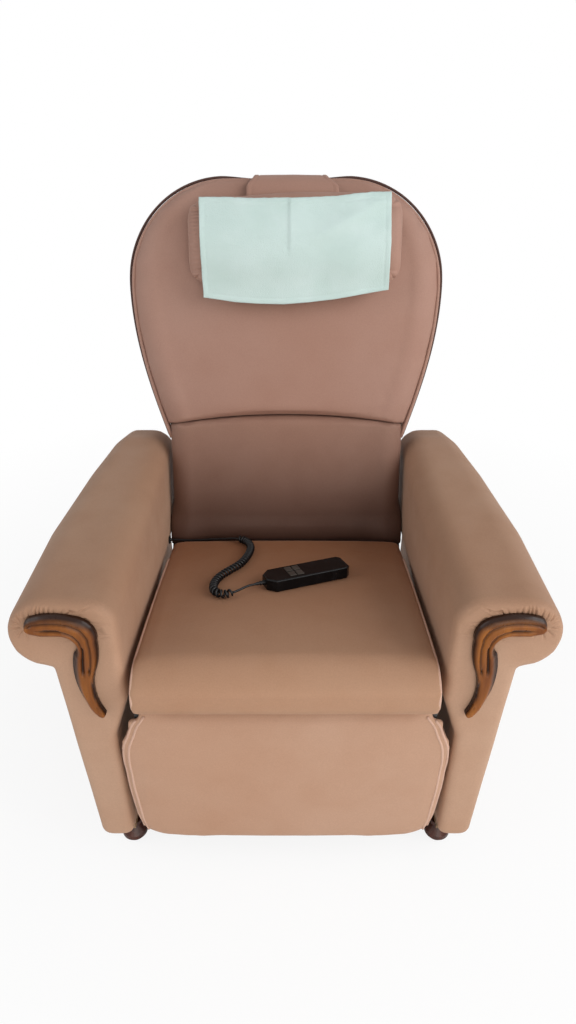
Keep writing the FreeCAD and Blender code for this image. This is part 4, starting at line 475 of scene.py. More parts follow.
def outward(piece):
    """The normals at a mesh's points."""
    turned = np.empty(len(piece.data.vertices) * 3)
    piece.data.vertex_normals.foreach_get("vector", turned)
    return turned.reshape(-1, 3)


def remeshed(piece, voxel):
    """Gives a piece an even mesh."""
    pick(piece)
    piece.data.remesh_voxel_size = voxel
    bpy.ops.object.voxel_remesh()


def eased(piece, steps):
    """Smooths a piece."""
    smoother = piece.modifiers.new("ease", "SMOOTH")
    smoother.iterations = steps
    smoother.factor = 0.5
    pick(piece)
    bpy.ops.object.modifier_apply(modifier="ease")


def stuffed(node, name, voxel=0.007):
    """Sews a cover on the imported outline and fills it: it swells under pressure inside that space
    and is drawn against that outline."""
    piece = placed(name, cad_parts[node].data.copy())
    piece.data.name = name
    piece.data.materials.clear()
    mended(piece.data)
    limit = space_of(piece)
    remeshed(piece, voxel)
    eased(piece, 3)
    rest = positions(piece) - outward(piece) * SLACK
    move_to(piece, rest)
    turned = outward(piece)
    cloth = piece.modifiers.new("fill", "CLOTH")
    cloth.settings.use_pressure = True
    cloth.settings.uniform_pressure_force = 4
    cloth.settings.effector_weights.gravity = 0
    cloth.settings.quality = 3
    cloth.point_cache.frame_start = 1
    cloth.point_cache.frame_end = FILL_FRAMES
    for step in range(1, FILL_FRAMES + 1):
        bpy.context.scene.frame_set(step)
    pick(piece)
    bpy.ops.object.modifier_apply(modifier="fill")
    bpy.context.scene.frame_set(1)
    moved = positions(piece) - rest
    out = np.sum(moved * turned, axis=1, keepdims=True)
    along = moved - out * turned
    reach = np.linalg.norm(along, axis=1, keepdims=True)
    along *= np.minimum(1, CREEP / np.maximum(reach, 1e-9))
    move_to(piece, rest + turned * np.clip(out, -DENT, SWELL) + along)
    spots = positions(piece)
    for index, spot in enumerate(spots):
        near, normal, _, gap = limit.find_nearest(Vector(spot))
        if near is not None and gap < REACH:
            spots[index] += (np.array(near - normal * SKIN) - spot) * TIGHT
    move_to(piece, spots)
    hold_inside(piece, limit)
    finer = piece.modifiers.new("finer", "SUBSURF")
    finer.levels = 1
    finer.render_levels = 1
    pick(piece)
    bpy.ops.object.modifier_apply(modifier="finer")
    bpy.ops.object.shade_smooth()
    return piece, limit


def hold_inside(piece, limit):
    """Keeps a piece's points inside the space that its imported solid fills."""
    spots = positions(piece)
    for index, spot in enumerate(spots):
        near, normal, _, _ = limit.find_nearest(Vector(spot))
        if near is not None and (Vector(spot) - near).dot(normal) > -SKIN:
            spots[index] = near - normal * SKIN
    move_to(piece, spots)


def stepped(value, low, high):
    """A smooth step from 0 at low to 1 at high."""
    share = max(0.0, min(1.0, (value - low) / (high - low)))
    return share * share * (3 - 2 * share)


def bell(value, middle, width):
    """A smooth hump of 1 at the middle."""
    return math.exp(-((value - middle) / width) ** 2)


def pulled(piece, rule):
    """Moves each point by what the rule gives for its place and normal."""
    spots = positions(piece)
    turned = outward(piece)
    for index, spot in enumerate(spots):
        spots[index] = spot + np.array(rule(*spot, turned[index]))
    move_to(piece, spots)


def dress(piece, body, skin, nodes=()):
    """Gives a piece its finish, the body that it rides on and the solids that it stands for."""
    piece.data.materials.clear()
    piece.data.materials.append(skin)
    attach(piece, body)
    if nodes:
        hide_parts(*nodes)


def tube(name, points, radius, closed=False):
    """A round cord sewn in along the points, as a mesh."""
    made = round_line(name, points, radius, 3, closed)
    pick(made)
    bpy.ops.object.convert(target="MESH")
    made = bpy.context.object
    mended(made.data, recalculate=True)
    bpy.ops.object.shade_smooth()
    return made


# Padded arms: foam and wadding over a wooden frame, in one cover that is drawn into small
# pleats round the carved scroll on the front of each roll.
SCROLL_LINE = (
    (0.3935, 0.577), (0.380, 0.5815), (0.362, 0.5825), (0.345, 0.5825), (0.330, 0.5795),
    (0.317, 0.571), (0.309, 0.557), (0.307, 0.540), (0.3085, 0.515), (0.3115, 0.490),
    (0.3145, 0.465), (0.3145, 0.440), (0.3105, 0.420), (0.304, 0.4035), (0.298, 0.3945),
)
# How far a radian round the scroll's end counts along it
END_TURN = 0.018


def finer_where(piece, chosen):
    """Splits the faces that are chosen by their middle once more."""
    work = bmesh.new()
    work.from_mesh(piece.data)
    edges = {edge for face in work.faces if chosen(face.calc_center_median())
             for edge in face.edges}
    bmesh.ops.subdivide_edges(work, edges=list(edges), cuts=1, use_grid_fill=True, smooth=0.4)
    work.to_mesh(piece.data)
    work.free()
    piece.data.shade_smooth()


def along_line(line, x, z):
    """The distance to a line in the front plane, and how far along it the nearest place is."""
    best, best_run, passed = 9.0, 0.0, 0.0
    for (x1, z1), (x2, z2) in zip(line, line[1:]):
        dx, dz = x2 - x1, z2 - z1
        long = math.hypot(dx, dz)
        share = max(0.0, min(1.0, ((x - x1) * dx + (z - z1) * dz) / long ** 2))
        off = math.hypot(x - x1 - dx * share, z - z1 - dz * share)
        if off < best:
            best, best_run = off, passed + long * share
        passed += long
    return best, best_run


def round_scroll(x, z):
    """How far a place on the arm's front is from the scroll, and where round the scroll it lies."""
    off, travel = along_line(SCROLL_LINE, x, z)
    (x1, z1), (x2, z2) = SCROLL_LINE[:2]
    long = math.hypot(x2 - x1, z2 - z1)
    ahead = ((x - x1) * (x2 - x1) + (z - z1) * (z2 - z1)) / long
    above = ((x - x1) * (z2 - z1) - (z - z1) * (x2 - x1)) / long
    if ahead < 0:
        return off, -END_TURN * math.atan2(-ahead, above)
    if above < 0 and travel < 0.07:
        return off, -END_TURN * math.pi - ahead
    return off, travel


# Place round the scroll, lean, length and depth of each pleat
PLEATS = (
    (-0.070, -0.3, 0.010, 0.0008), (-0.0605, -0.1, 0.013, 0.0012), (-0.049, 0.1, 0.015, 0.0014),
    (-0.0385, 0.0, 0.016, 0.0015), (-0.028, 0.1, 0.017, 0.0015), (-0.0165, -0.1, 0.019, 0.0014),
    (-0.006, 0.1, 0.017, 0.0012), (0.0045, 0.0, 0.016, 0.0010), (0.0125, 0.1, 0.020, 0.0013),
    (0.0195, 0.15, 0.024, 0.0016), (0.0252, 0.05, 0.024, 0.0016), (0.0312, 0.0, 0.020, 0.0015),
    (0.0382, -0.05, 0.018, 0.0014), (0.0455, 0.1, 0.013, 0.0009), (0.0525, 0.3, 0.016, 0.0008),
    (0.0603, 0.55, 0.046, 0.0018), (0.0675, 0.6, 0.018, 0.0010), (0.0745, 0.7, 0.030, 0.0016),
    (0.0815, 0.5, 0.022, 0.0011), (0.0875, 0.35, 0.040, 0.0015), (0.0945, 0.2, 0.036, 0.0013),
    (0.102, 0.1, 0.024, 0.0010),
)
PLEAT_DEEPER = 1.35
PLEAT_WIDE = 0.0013
for side, name in ((-1, "left"), (1, "right")):
    arm, arm_space = stuffed("arm_pad_" + name, "arm_cover_" + name, voxel=0.009)
    finer_where(arm, lambda spot: spot.y < -0.345 and spot.z > 0.50)
    finer_where(arm, lambda spot: (spot.y < -0.355 and spot.z > 0.535
                                   and 0.012 < round_scroll(abs(spot.x), spot.z)[0] < 0.060))
    spots = positions(arm)
    turned = outward(arm)
    for index in np.nonzero((spots[:, 1] < -0.335) & (spots[:, 2] > 0.53))[0]:
        x, y, z = spots[index]
        off, place = round_scroll(abs(x), z)
        away = off - 0.017 + max(0.0, y + 0.398)
        if place > 0.115 or away < -0.006:
            continue
        for number, (at, lean, long, deep) in enumerate(PLEATS):
            drift = 0.0012 * noise.noise((number * 1.7, side * 3.1, 0.5))
            from_line = place - at - drift - lean * max(0.0, away)
            wide = PLEAT_WIDE + 0.025 * max(0.0, away)
            if abs(from_line) > wide * 3.5:
                continue
            fall = bell(from_line, 0, wide) - 0.35 * bell(abs(from_line), wide * 2.0, wide)
            long *= 1.0 + 0.2 * side * noise.noise((number, 2.0, 0.0))
            spots[index] -= turned[index] * PLEAT_DEEPER * deep * fall * stepped(away, long, 0.002)
    move_to(arm, spots)
    hold_inside(arm, arm_space)
    dress(arm, "seat_base", cover_arm, ["arm_pad_" + name])

# Seat: a boxed foam cushion whose top runs over a rounded nose, with a welt along each side.
seat, _ = stuffed("seat_cushion", "seat_cover")
pulled(seat, lambda x, y, z, way: (
    0, -0.013 * stepped(y, -0.30, -0.38) * stepped(z, 0.396, 0.411) * stepped(z, 0.492, 0.455), 0))
seat_skin = space_of(seat)
dress(seat, "seat_base", cover_seat, ["seat_cushion"])


def seam_points(space, centre, directions, sink=0.0):
    """Where rays from a centre leave a space, drawn in by a depth."""
    found = []
    for way in directions:
        way = Vector(way).normalized()
        start = Vector(centre)
        far = None
        for _ in range(6):
            hit, _, _, distance = space.ray_cast(start, way)
            if hit is None:
                break
            far = hit
            start = hit + way * 0.0005
        if far is not None:
            found.append(far - way * sink)
    return found


turns = np.linspace(math.radians(12), math.radians(196), 46)
ways = [(0, math.cos(a), math.sin(a)) for a in turns]
for side, name in ((-1, "left"), (1, "right")):
    line = seam_points(seat_skin, (side * 0.2445, -0.17, 0.40), ways, 0.0014)
    dress(tube("seat_welt_" + name, line, 0.0030), "seat_base", cover_piping)

# Back: an upper and a lumbar pad on one board, sewn to each other along an arched seam with a
# light welt, and a padded rear cover. A welt runs inside the outline of the pads, a cord fills
# their join with the rear cover, and a near-black cord along the front edge is painted shadow.
upper, _ = stuffed("back_pad_upper", "back_cover_upper", voxel=0.008)
dress(upper, "back", cover_rose, ["back_pad_upper"])
lumbar, _ = stuffed("back_pad_lumbar", "back_cover_lumbar")


def lumbar_pull(x, y, z, way):
    """Fills the lumbar pad's sides and its lower edge towards the arms and the seat."""
    side = stepped(abs(x), 0.17, 0.245)
    low = stepped(z, 0.47, 0.42)
    ahead = stepped(-way[1], 0.0, 0.7)
    corner = 0.010 * stepped(z, 0.49, 0.445) * stepped(abs(x), 0.216, 0.238)
    wide = min(0.0065 * side + corner, 0.2562 - abs(x))
    return math.copysign(wide, x), -ahead * (side * (0.007 + 0.006 * low) + 0.010 * low), 0


pulled(lumbar, lumbar_pull)
dress(lumbar, "back", cover_lumbar, ["back_pad_lumbar"])
rear, _ = stuffed("back_cover", "back_cover_rear", voxel=0.010)
dress(rear, "back", cover_brown, ["back_cover"])

BACK_TURN = math.radians(17)
HINGE_Y, HINGE_Z = 0.115, 0.372
# Half widths of the back at its foot and of its flat top, how much it widens, the heights over the
# hinge between which it does so, and the radius of its shoulders
LOW_HALF, FLAT_HALF, WIDER, WIDENS, WIDEST, SHOULDER = 0.250, 0.122, 0.072, 0.248, 0.578, 0.200
BACK_TOP = 0.778


def on_back(x, y, z):
    """A place on the leaning back, from its place on the upright back over the hinge."""
    return Vector((x, HINGE_Y + y * math.cos(BACK_TURN) + z * math.sin(BACK_TURN),
                   HINGE_Z - y * math.sin(BACK_TURN) + z * math.cos(BACK_TURN)))


def back_half(height):
    """Half of the back's width at a height over the hinge."""
    if height <= WIDENS:
        return LOW_HALF
    if height <= WIDEST:
        return LOW_HALF + WIDER * math.sin(math.pi / 2 * (height - WIDENS) / (WIDEST - WIDENS))
    over = min((height - WIDEST) / SHOULDER, 1)
    return FLAT_HALF + SHOULDER * math.sqrt(1 - over * over)


def sewn_round(name, share, depth, lower, radius):
    """A cord round the back, at a share of its width, so deep and so much lower."""
    line = [on_back(x * share, depth, z - lower) for x, z in outline]
    dress(tube(name, line, radius), "back", cover_rose)


heights = list(np.linspace(0.262, WIDEST, 14))
heights += [WIDEST + SHOULDER * math.sin(a) for a in np.linspace(0.12, math.pi / 2, 16)]
edge = [(back_half(height), height) for height in heights]
outline = edge + [(x, BACK_TOP) for x in (0.06, 0, -0.06)] + [(-x, z) for x, z in reversed(edge)]
sewn_round("back_welt", 0.9790, -0.0190, 0.0060, 0.0038)
sewn_round("back_join", 0.9955, 0.0150, 0.0015, 0.0034)
# A near-black cord along the back's outline: painted shadow where the rear cover shows past the pads.
painted_edge_shadow = cover_finish("painted_edge_shadow", (0.07, 0.035, 0.028), (0.10, 0.05, 0.04),
                           (0.05, 0.025, 0.02))
edge_shadow_line = []
for (x1, z1), (x, z), (x2, z2) in zip(outline[:1] + outline, outline, outline[1:] + outline[-1:]):
    long = math.hypot(x2 - x1, z2 - z1)
    under_band = stepped(abs(x - 0.012), 0.105, 0.092) * stepped(z, 0.70, 0.75)
    off = 0.0012 + 0.0012 * stepped(z, 0.66, 0.76) - 0.0062 * under_band
    edge_shadow_line.append(on_back(x + (z2 - z1) / long * off, -0.0060, z - (x2 - x1) / long * off))
dress(tube("back_edge_shadow", edge_shadow_line, 0.0027), "back", painted_edge_shadow)


def faced(space, x, z, start=-0.7):
    """The place of a space that is met from the front."""
    return space.ray_cast(Vector((x, start, z)), Vector((0, 1, 0)))[0]


arch = []
upper_skin = space_of(upper)
for x in np.linspace(-0.240, 0.240, 40):
    hits = [faced(upper_skin, x, z) for z in np.linspace(0.76, 0.52, 241)]
    hits = [hit for hit in hits if hit is not None]
    if hits:
        arch.append((x, hits[-2].y - 0.0030, hits[-1].z - 0.0004))
dress(tube("arch_welt", arch, 0.0017), "back", cover_piping)

# Headrest: a small pillow with a light welt, buttoned to a wide band that lies over the top of
# the back, and a sand pouch on the band's rear end that balances it.
pillow, _ = stuffed("head_pillow", "pillow_cover", voxel=0.0045)
PILLOW_LEFT, PILLOW_RIGHT, PILLOW_LOW, PILLOW_HIGH = -0.192, 0.228, 0.568, 0.741


def upright(spot):
    """The same place on the upright back, over the hinge."""
    y, z = spot[1] - HINGE_Y, spot[2] - HINGE_Z
    return (spot[0], y * math.cos(BACK_TURN) - z * math.sin(BACK_TURN),
            y * math.sin(BACK_TURN) + z * math.cos(BACK_TURN))


CORNER = 0.040
RUCHE_DEEP, RUCHE_STEP = 0.0016, 0.0085


def rounded(x, height):
    """Draws the corners of the pillow's outline in, and lowers its left shoulder."""
    side = 1 if x > (PILLOW_LEFT + PILLOW_RIGHT) / 2 else -1
    up = 1 if height > (PILLOW_LOW + PILLOW_HIGH) / 2 else -1
    middle_x = (PILLOW_RIGHT if side > 0 else PILLOW_LEFT) - side * CORNER
    middle_height = (PILLOW_HIGH if up > 0 else PILLOW_LOW) - up * CORNER
    out_x, out_height = (x - middle_x) * side, (height - middle_height) * up
    if out_x > 0 and out_height > 0:
        share = max(out_x, out_height) / math.hypot(out_x, out_height)
        x, height = middle_x + side * out_x * share, middle_height + up * out_height * share
    return x, height - 0.008 * stepped(x, 0.03, -0.12) * stepped(height, 0.66, 0.72)


spots = positions(pillow)
for index, spot in enumerate(spots):
    x, y, height = upright(spot)
    gather = stepped(x, -0.150, -0.178) * stepped(-y, 0.05, 0.06)
    ripple = height * 2 * math.pi / RUCHE_STEP + 1.5 * noise.noise((x * 90, height * 30, 0))
    y += RUCHE_DEEP * gather * (0.5 + 0.5 * math.cos(ripple))
    x, height = rounded(x, height)
    spots[index] = on_back(x, y, height)
move_to(pillow, spots)
dress(pillow, "headrest", cover_rose, ["head_pillow"])
ways = [(math.cos(a), math.sin(a) * math.sin(BACK_TURN), math.sin(a) * math.cos(BACK_TURN))
        for a in np.linspace(0, 2 * math.pi, 72, endpoint=False)]
line = seam_points(space_of(pillow), on_back(0.018, -0.0665, 0.655), ways, 0.0008)
dress(tube("pillow_welt", line, 0.0021, closed=True), "headrest", cover_piping)
pouch, _ = stuffed("headrest_weight", "pouch_cover", voxel=0.006)
dress(pouch, "counterweight", cover_brown, ["headrest_weight"])


def layered(name, front, rear):
    """A thin closed piece from the points of its front and of its rear, in rows and columns."""
    work = bmesh.new()
    near, far = ([[work.verts.new(point) for point in row] for row in side]
                 for side in (front, rear))
    rows, columns = len(near), len(near[0])
    for r in range(rows - 1):
        for c in range(columns - 1):
            work.faces.new((near[r][c], near[r + 1][c], near[r + 1][c + 1], near[r][c + 1]))
            work.faces.new((far[r][c], far[r][c + 1], far[r + 1][c + 1], far[r + 1][c]))
    rim = ([(0, c) for c in range(columns)] + [(r, columns - 1) for r in range(1, rows)]
           + [(rows - 1, c) for c in range(columns - 2, -1, -1)]
           + [(r, 0) for r in range(rows - 2, 0, -1)])
    for (r1, c1), (r2, c2) in zip(rim, rim[1:] + rim[:1]):
        work.faces.new((near[r1][c1], near[r2][c2], far[r2][c2], far[r1][c1]))
    bmesh.ops.recalc_face_normals(work, faces=work.faces)
    made = placed(name, bpy.data.meshes.new(name))
    work.to_mesh(made.data)
    work.free()
    pick(made)
    bpy.ops.object.shade_smooth()
    return made


# Where the band runs over the back, on the upright back
BAND_FRONT, BAND_REAR, BAND_TOP, BAND_BEND, BAND_END = -0.0528, 0.0818, 0.7797, 0.0385, 0.632
BAND_INSIDE = 0.0013
turns = np.linspace(0, math.pi / 2, 10)
band_line = [(BAND_FRONT, BAND_END), (BAND_FRONT, BAND_TOP - BAND_BEND)]
band_line += [(BAND_FRONT + BAND_BEND * (1 - math.cos(a)),
               BAND_TOP - BAND_BEND * (1 - math.sin(a))) for a in turns[1:]]
band_line += [(BAND_REAR - BAND_BEND * (1 - math.sin(a)),
               BAND_TOP - BAND_BEND * (1 - math.cos(a))) for a in turns]
path = np.array(band_line + [(BAND_REAR, BAND_END)])
run = runs(path)
front, rear = [], []
for along in np.linspace(0, run[-1], 120):
    y, height = place_at(path, run, along)
    ahead = place_at(path, run, along + LOOK_ALONG)
    step_y, step_height = ahead - place_at(path, run, along - LOOK_ALONG)
    long = math.hypot(step_y, step_height)
    out_y, out_height = -step_height / long, step_y / long
    ahead = stepped(height, 0.779, 0.752) * stepped(y, 0.0, -0.02)
    behind = stepped(y, 0.03, 0.07)
    left, right = -0.0635 - 0.0145 * ahead - 0.002 * behind, 0.082 + 0.022 * ahead + 0.019 * behind
    outer, inner = [], []
    for share in np.linspace(0, 1, 72):
        x = left + (right - left) * share
        rim = min(x - left, right - x)
        raised = 0.0021 - 0.0014 * stepped(rim, 0.0022, 0.0) + 0.0007 * stepped(rim, 0.0105, 0.0085)
        raised -= 0.0009 * bell(rim, 0.0105, 0.0011)
        raised += (0.0008 * (1 - (2 * share - 1) ** 2)
                   + 0.0003 * noise.noise((x * 30, along * 24, 5.0)))
        outer.append(on_back(x, y + out_y * raised, height + out_height * raised))
        inner.append(on_back(x, y - out_y * BAND_INSIDE, height - out_height * BAND_INSIDE))
    front.append(outer)
    rear.append(inner)
band = layered("pillow_band", front, rear)
dress(band, "back", cover_rose, ["headrest_strap"])

# Towel: a thin mint terry towel laid over the pillow, with narrow hems.
terry, tree, surface, where = finish("terry_mint", (0.62, 0.76, 0.71), 0.85)
loops = textured(tree, "Voronoi", where, 520)
tint = textured(tree, "Noise", where, 14, 4)
tint = ramp(tree, tint.outputs["Fac"], 0.35, 0.7)
tree.links.new(blended(tree, tint, (0.545, 0.690, 0.655), (0.60, 0.735, 0.71)),
               surface.inputs["Base Color"])
relief(tree, surface, loops.outputs["Distance"], 0.5, 0.0009)
surface.inputs["Sheen Weight"].default_value = 0.5
surface.inputs["Sheen Roughness"].default_value = 0.5
towel_space = space_of(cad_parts["head_towel"])
TOWEL_TOP = ((-0.166, 1.0965), (-0.110, 1.0970), (-0.060, 1.0955), (0.000, 1.0963), (0.058, 1.0970),
             (0.0975, 1.0988), (0.129, 1.1026), (0.165, 1.1052), (0.201, 1.1058))
TOWEL_LOW = ((-0.1635, 0.9186), (-0.104, 0.9108), (-0.055, 0.9076), (-0.005, 0.9067),
             (0.045, 0.9100), (0.0935, 0.9157), (0.142, 0.9237), (0.202, 0.9332))
TOWEL_THICK = 0.0024
TOWEL_WIDE, TOWEL_DOWN = 0.367, 0.19
CREASE_X = 0.006


def smoothed(row, weights):
    """A row of values, each one spread over its neighbours by the weights."""
    return np.convolve(np.pad(row, len(weights) // 2, mode="edge"), weights, mode="valid")


def spread(table, width):
    """Smooths each row of a table over a width of its columns."""
    share = np.hanning(width + 2)[1:-1]
    return np.array([smoothed(row, share / share.sum()) for row in table])


towel_x, towel_z = np.linspace(-0.156, 0.192, 88), np.linspace(0.906, 1.088, 46)
towel_depth = np.array([[faced(towel_space, x, z).y for x in towel_x] for z in towel_z])
towel_depth = spread(spread(towel_depth, 31).T, 13).T


def towel_face(x, z):
    """How far back the towel lies at a place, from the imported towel's face and this one's folds."""
    held_x = min(max(x, towel_x[0]), towel_x[-1])
    held_z = min(max(z, towel_z[0]), towel_z[-1])
    place = (held_z - towel_z[0]) / (towel_z[1] - towel_z[0])
    row = min(int(place), len(towel_z) - 2)
    below, above = (float(np.interp(held_x, towel_x, towel_depth[k])) for k in (row, row + 1))
    lean = 0.7 if z > held_z else 0.25
    y = below + (above - below) * (place - row) + (z - held_z) * lean + 0.0012
    creased = bell(x, CREASE_X, 0.030) * stepped(z, 0.985, 1.03)
    y -= 0.0016 * math.tanh((x - CREASE_X) / 0.0022) * creased
    off = (z - 1.015) * 0.90 - (x - 0.020) * 0.43
    y -= 0.0034 * bell(off, 0, 0.013) * stepped(x, 0.025, 0.09)
    y += 0.0022 * bell(off, -0.030, 0.016) * stepped(x, 0.02, 0.09)
    return y - 0.0012 * noise.noise((x * 14, z * 14, 2.0)) * stepped(z, 1.08, 1.0)


front, rear = [], []
for down in np.linspace(0, 1, 92):
    near_row, far_row = [], []
    for across in np.linspace(0, 1, 168):
        x = -0.166 + 0.0025 * down + (TOWEL_WIDE - 0.001 * down) * across
        x += 0.0008 * noise.noise((across * 2, down * 7, 8.0))
        top = float(np.interp(x, *zip(*TOWEL_TOP))) + 0.0006 * noise.noise((across * 34, 1.0, 3.0))
        low = float(np.interp(x, *zip(*TOWEL_LOW)))
        z = top + (low - top) * down
        y = towel_face(x, z)
        rim = min(min(across, 1 - across) * TOWEL_WIDE, min(down, 1 - down) * TOWEL_DOWN)
        raised = 0.0008 * stepped(rim, 0.0095, 0.0075) - 0.0007 * bell(rim, 0.0100, 0.0011)
        if across > 0.5:
            raised -= 0.0005 * bell((1 - across) * TOWEL_WIDE, 0.0048, 0.0008)
        near_row.append((x, y - TOWEL_THICK / 2 - raised, z))
        far_row.append((x, y + TOWEL_THICK / 2, z))
    front.append(near_row)
    rear.append(far_row)
towel = layered("mint_towel", front, rear)
dress(towel, "headrest", terry, ["head_towel"])

# Legrest: a padded panel that hangs from its axle under the seat's nose, with two welts down
# each side.
legrest, _ = stuffed("legrest_pad", "legrest_cover", voxel=0.0065)
# How far the panel's sides swell, by height
LEGREST_SWELL = (
    (0.07, 0.020), (0.095, 0.018), (0.11, 0.011), (0.135, 0.004), (0.165, 0.0), (0.25, 0.0),
    (0.286, 0.004), (0.305, 0.012), (0.322, 0.0155), (0.333, 0.011), (0.346, 0.006), (0.40, 0.004),
)


def legrest_pull(x, y, z, way):
    """Fills the panel's sides and corners towards the arms, the seat's nose and the floor."""
    near_side = stepped(abs(x), *((0.190, 0.235) if z < 0.165 else (0.247, 0.258)))
    swell = float(np.interp(z, *zip(*LEGREST_SWELL))) * near_side
    corner = 0.011 * stepped(abs(x), 0.195, 0.255) * stepped(z, 0.355, 0.376)
    corner *= stepped(y, -0.384, -0.392)
    sag = (0.006 + 0.006 * stepped(abs(x), 0.12, 0.20)) * stepped(z, 0.125, 0.085)
    return math.copysign(swell, x), 0, corner - sag


pulled(legrest, legrest_pull)
legrest_skin = space_of(legrest)
dress(legrest, "legrest", cover_tan, ["legrest_pad"])
for side, name in ((-1, "left"), (1, "right")):
    heights = np.linspace(0.086, 0.380, 34)
    reach = []
    for z in heights:
        hits = [legrest_skin.ray_cast(Vector((side * 0.6, y, z)), Vector((-side, 0, 0)))[0]
                for y in (-0.404, -0.400, -0.396, -0.392, -0.388)]
        reach.append(max(abs(hit.x) for hit in hits if hit is not None))
    reach = smoothed(reach, (0.1, 0.2, 0.4, 0.2, 0.1))
    for inset, label in ((0.0125, "inner"), (0.0030, "outer")):
        points = [faced(legrest_skin, side * (wide - inset), z, -0.60)
                  for z, wide in zip(heights, reach)]
        points = [hit for hit in points if hit is not None]
        depths = smoothed([hit.y for hit in points], np.ones(7) / 7)
        line = [(hit.x, float(y) + 0.0004, hit.z) for hit, y in zip(points, depths)]
        welt = tube("legrest_welt_" + name + "_" + label, line, 0.0023)
        dress(welt, "legrest", cover_piping)

# Carved scrolls: hardwood mouldings on the arm fronts, under a warm satin varnish.
wood_group, source, sink = shader_group("varnished_grain", Light=(0.4, 0.18, 0.06, 1),
                                        Dark=(0.1, 0.03, 0.01, 1), Rings=60.0)
stretch = wood_group.nodes.new("ShaderNodeMapping")
stretch.inputs["Scale"].default_value = (1.0, 1.0, 0.14)
wood_group.links.new(source["Vector"], stretch.inputs["Vector"])
rings = textured(wood_group, "Noise", stretch.outputs["Vector"], source["Rings"], 6)
fibres = textured(wood_group, "Noise", stretch.outputs["Vector"], 900, 3)
tone = ramp(wood_group, rings.outputs["Fac"], 0.35, 0.68)
wood_group.links.new(blended(wood_group, tone, source["Dark"], source["Light"]), sink["Color"])
dullness = ramp(wood_group, rings.outputs["Fac"], 0.3, 0.7, 0.34, 0.24)
wood_group.links.new(dullness, sink["Roughness"])
wood_group.links.new(fibres.outputs["Fac"], sink["Height"])


def wood_finish(name, light, dark, rings_scale, varnish, bump=0.12, specular=0.3):
    """A wood finish with grain that runs upwards."""
    made, tree, surface, _ = grouped_finish(name, wood_group, light, 0.3, bump, 0.0003,
                                            Light=light, Dark=dark, Rings=rings_scale)
    surface.inputs["Coat Weight"].default_value = varnish
    surface.inputs["Coat Roughness"].default_value = 0.18
    surface.inputs["Specular IOR Level"].default_value = specular
    return made, tree, surface


def arc_through(start, way, end, steps=8):
    """Points on the arc from start through way to end."""
    (x1, z1), (x2, z2), (x3, z3) = start, way, end
    d = 2 * (x1 * (z2 - z3) + x2 * (z3 - z1) + x3 * (z1 - z2))
    s1, s2, s3 = x1 * x1 + z1 * z1, x2 * x2 + z2 * z2, x3 * x3 + z3 * z3
    cx = (s1 * (z2 - z3) + s2 * (z3 - z1) + s3 * (z1 - z2)) / d
    cz = (s1 * (x3 - x2) + s2 * (x1 - x3) + s3 * (x2 - x1)) / d
    first_angle, middle_angle, last_angle = (math.atan2(z - cz, x - cx)
                                             for x, z in (start, way, end))
    turn = (last_angle - first_angle) % (2 * math.pi)
    if (middle_angle - first_angle) % (2 * math.pi) > turn:
        turn -= 2 * math.pi
    radius = math.hypot(x1 - cx, z1 - cz)
    return [(cx + radius * math.cos(first_angle + turn * k / steps),
             cz + radius * math.sin(first_angle + turn * k / steps)) for k in range(1, steps + 1)]


SCROLL_EDGE = [(0.3844, 0.5977)]
for bend in (
    ((0.39447, 0.58347), (0.38758, 0.56836)), ((0.37168, 0.562),), ((0.3462, 0.562),),
    ((0.32818, 0.55564), (0.32918, 0.52511)), ((0.33448, 0.46846), (0.32388, 0.41904)),
    ((0.3165, 0.4010), (0.3060, 0.3915)), ((0.2985, 0.3900), (0.2960, 0.3985)),
    ((0.3060, 0.4400), (0.29954, 0.48799)),
    ((0.29059, 0.52054), (0.289, 0.55092)), ((0.29536, 0.58498), (0.31868, 0.59876)),
    ((0.342, 0.603), (0.36956, 0.60194)),
):
    if len(bend) == 1:
        SCROLL_EDGE.append(bend[0])
    else:
        SCROLL_EDGE += arc_through(SCROLL_EDGE[-1], *bend)
SCROLL_BACK, SCROLL_DEEP = -0.4003, 0.0138
SCROLL_BEND = ((0.345, 0.5825), (0.307, 0.540))


def outer_side(x, z):
    """Whether a place lies on the outer side of the scroll's line."""
    (x1, z1), (x2, z2) = SCROLL_BEND
    if x > x1:
        return z > z1
    if z < z2:
        return x < x2
    return (x - x1) * (z2 - z1) - (z - z1) * (x2 - x1) > 0


def held(value):
    """A value, kept from 0 to 1."""
    return max(0.0, min(1.0, value))


scroll_varnish, tree, surface = wood_finish("scroll_varnish", (0.31, 0.104, 0.014),
                                            (0.16, 0.044, 0.006), 55, 0.04, specular=0.22)
# Painted shade in the carving: its hollows are mixed towards near black, and its ridges keep the
# wood's colour.
carved = tree.nodes.new("ShaderNodeAttribute")
carved.attribute_name = "carving_lit"
groove_shade = ramp(tree, carved.outputs["Fac"], 0.20, 0.90, 1.0, 0.0)
tone = blended(tree, groove_shade, surface.inputs["Base Color"].links[0].from_socket,
               (0.022, 0.007, 0.003))
tree.links.new(tone, surface.inputs["Base Color"])

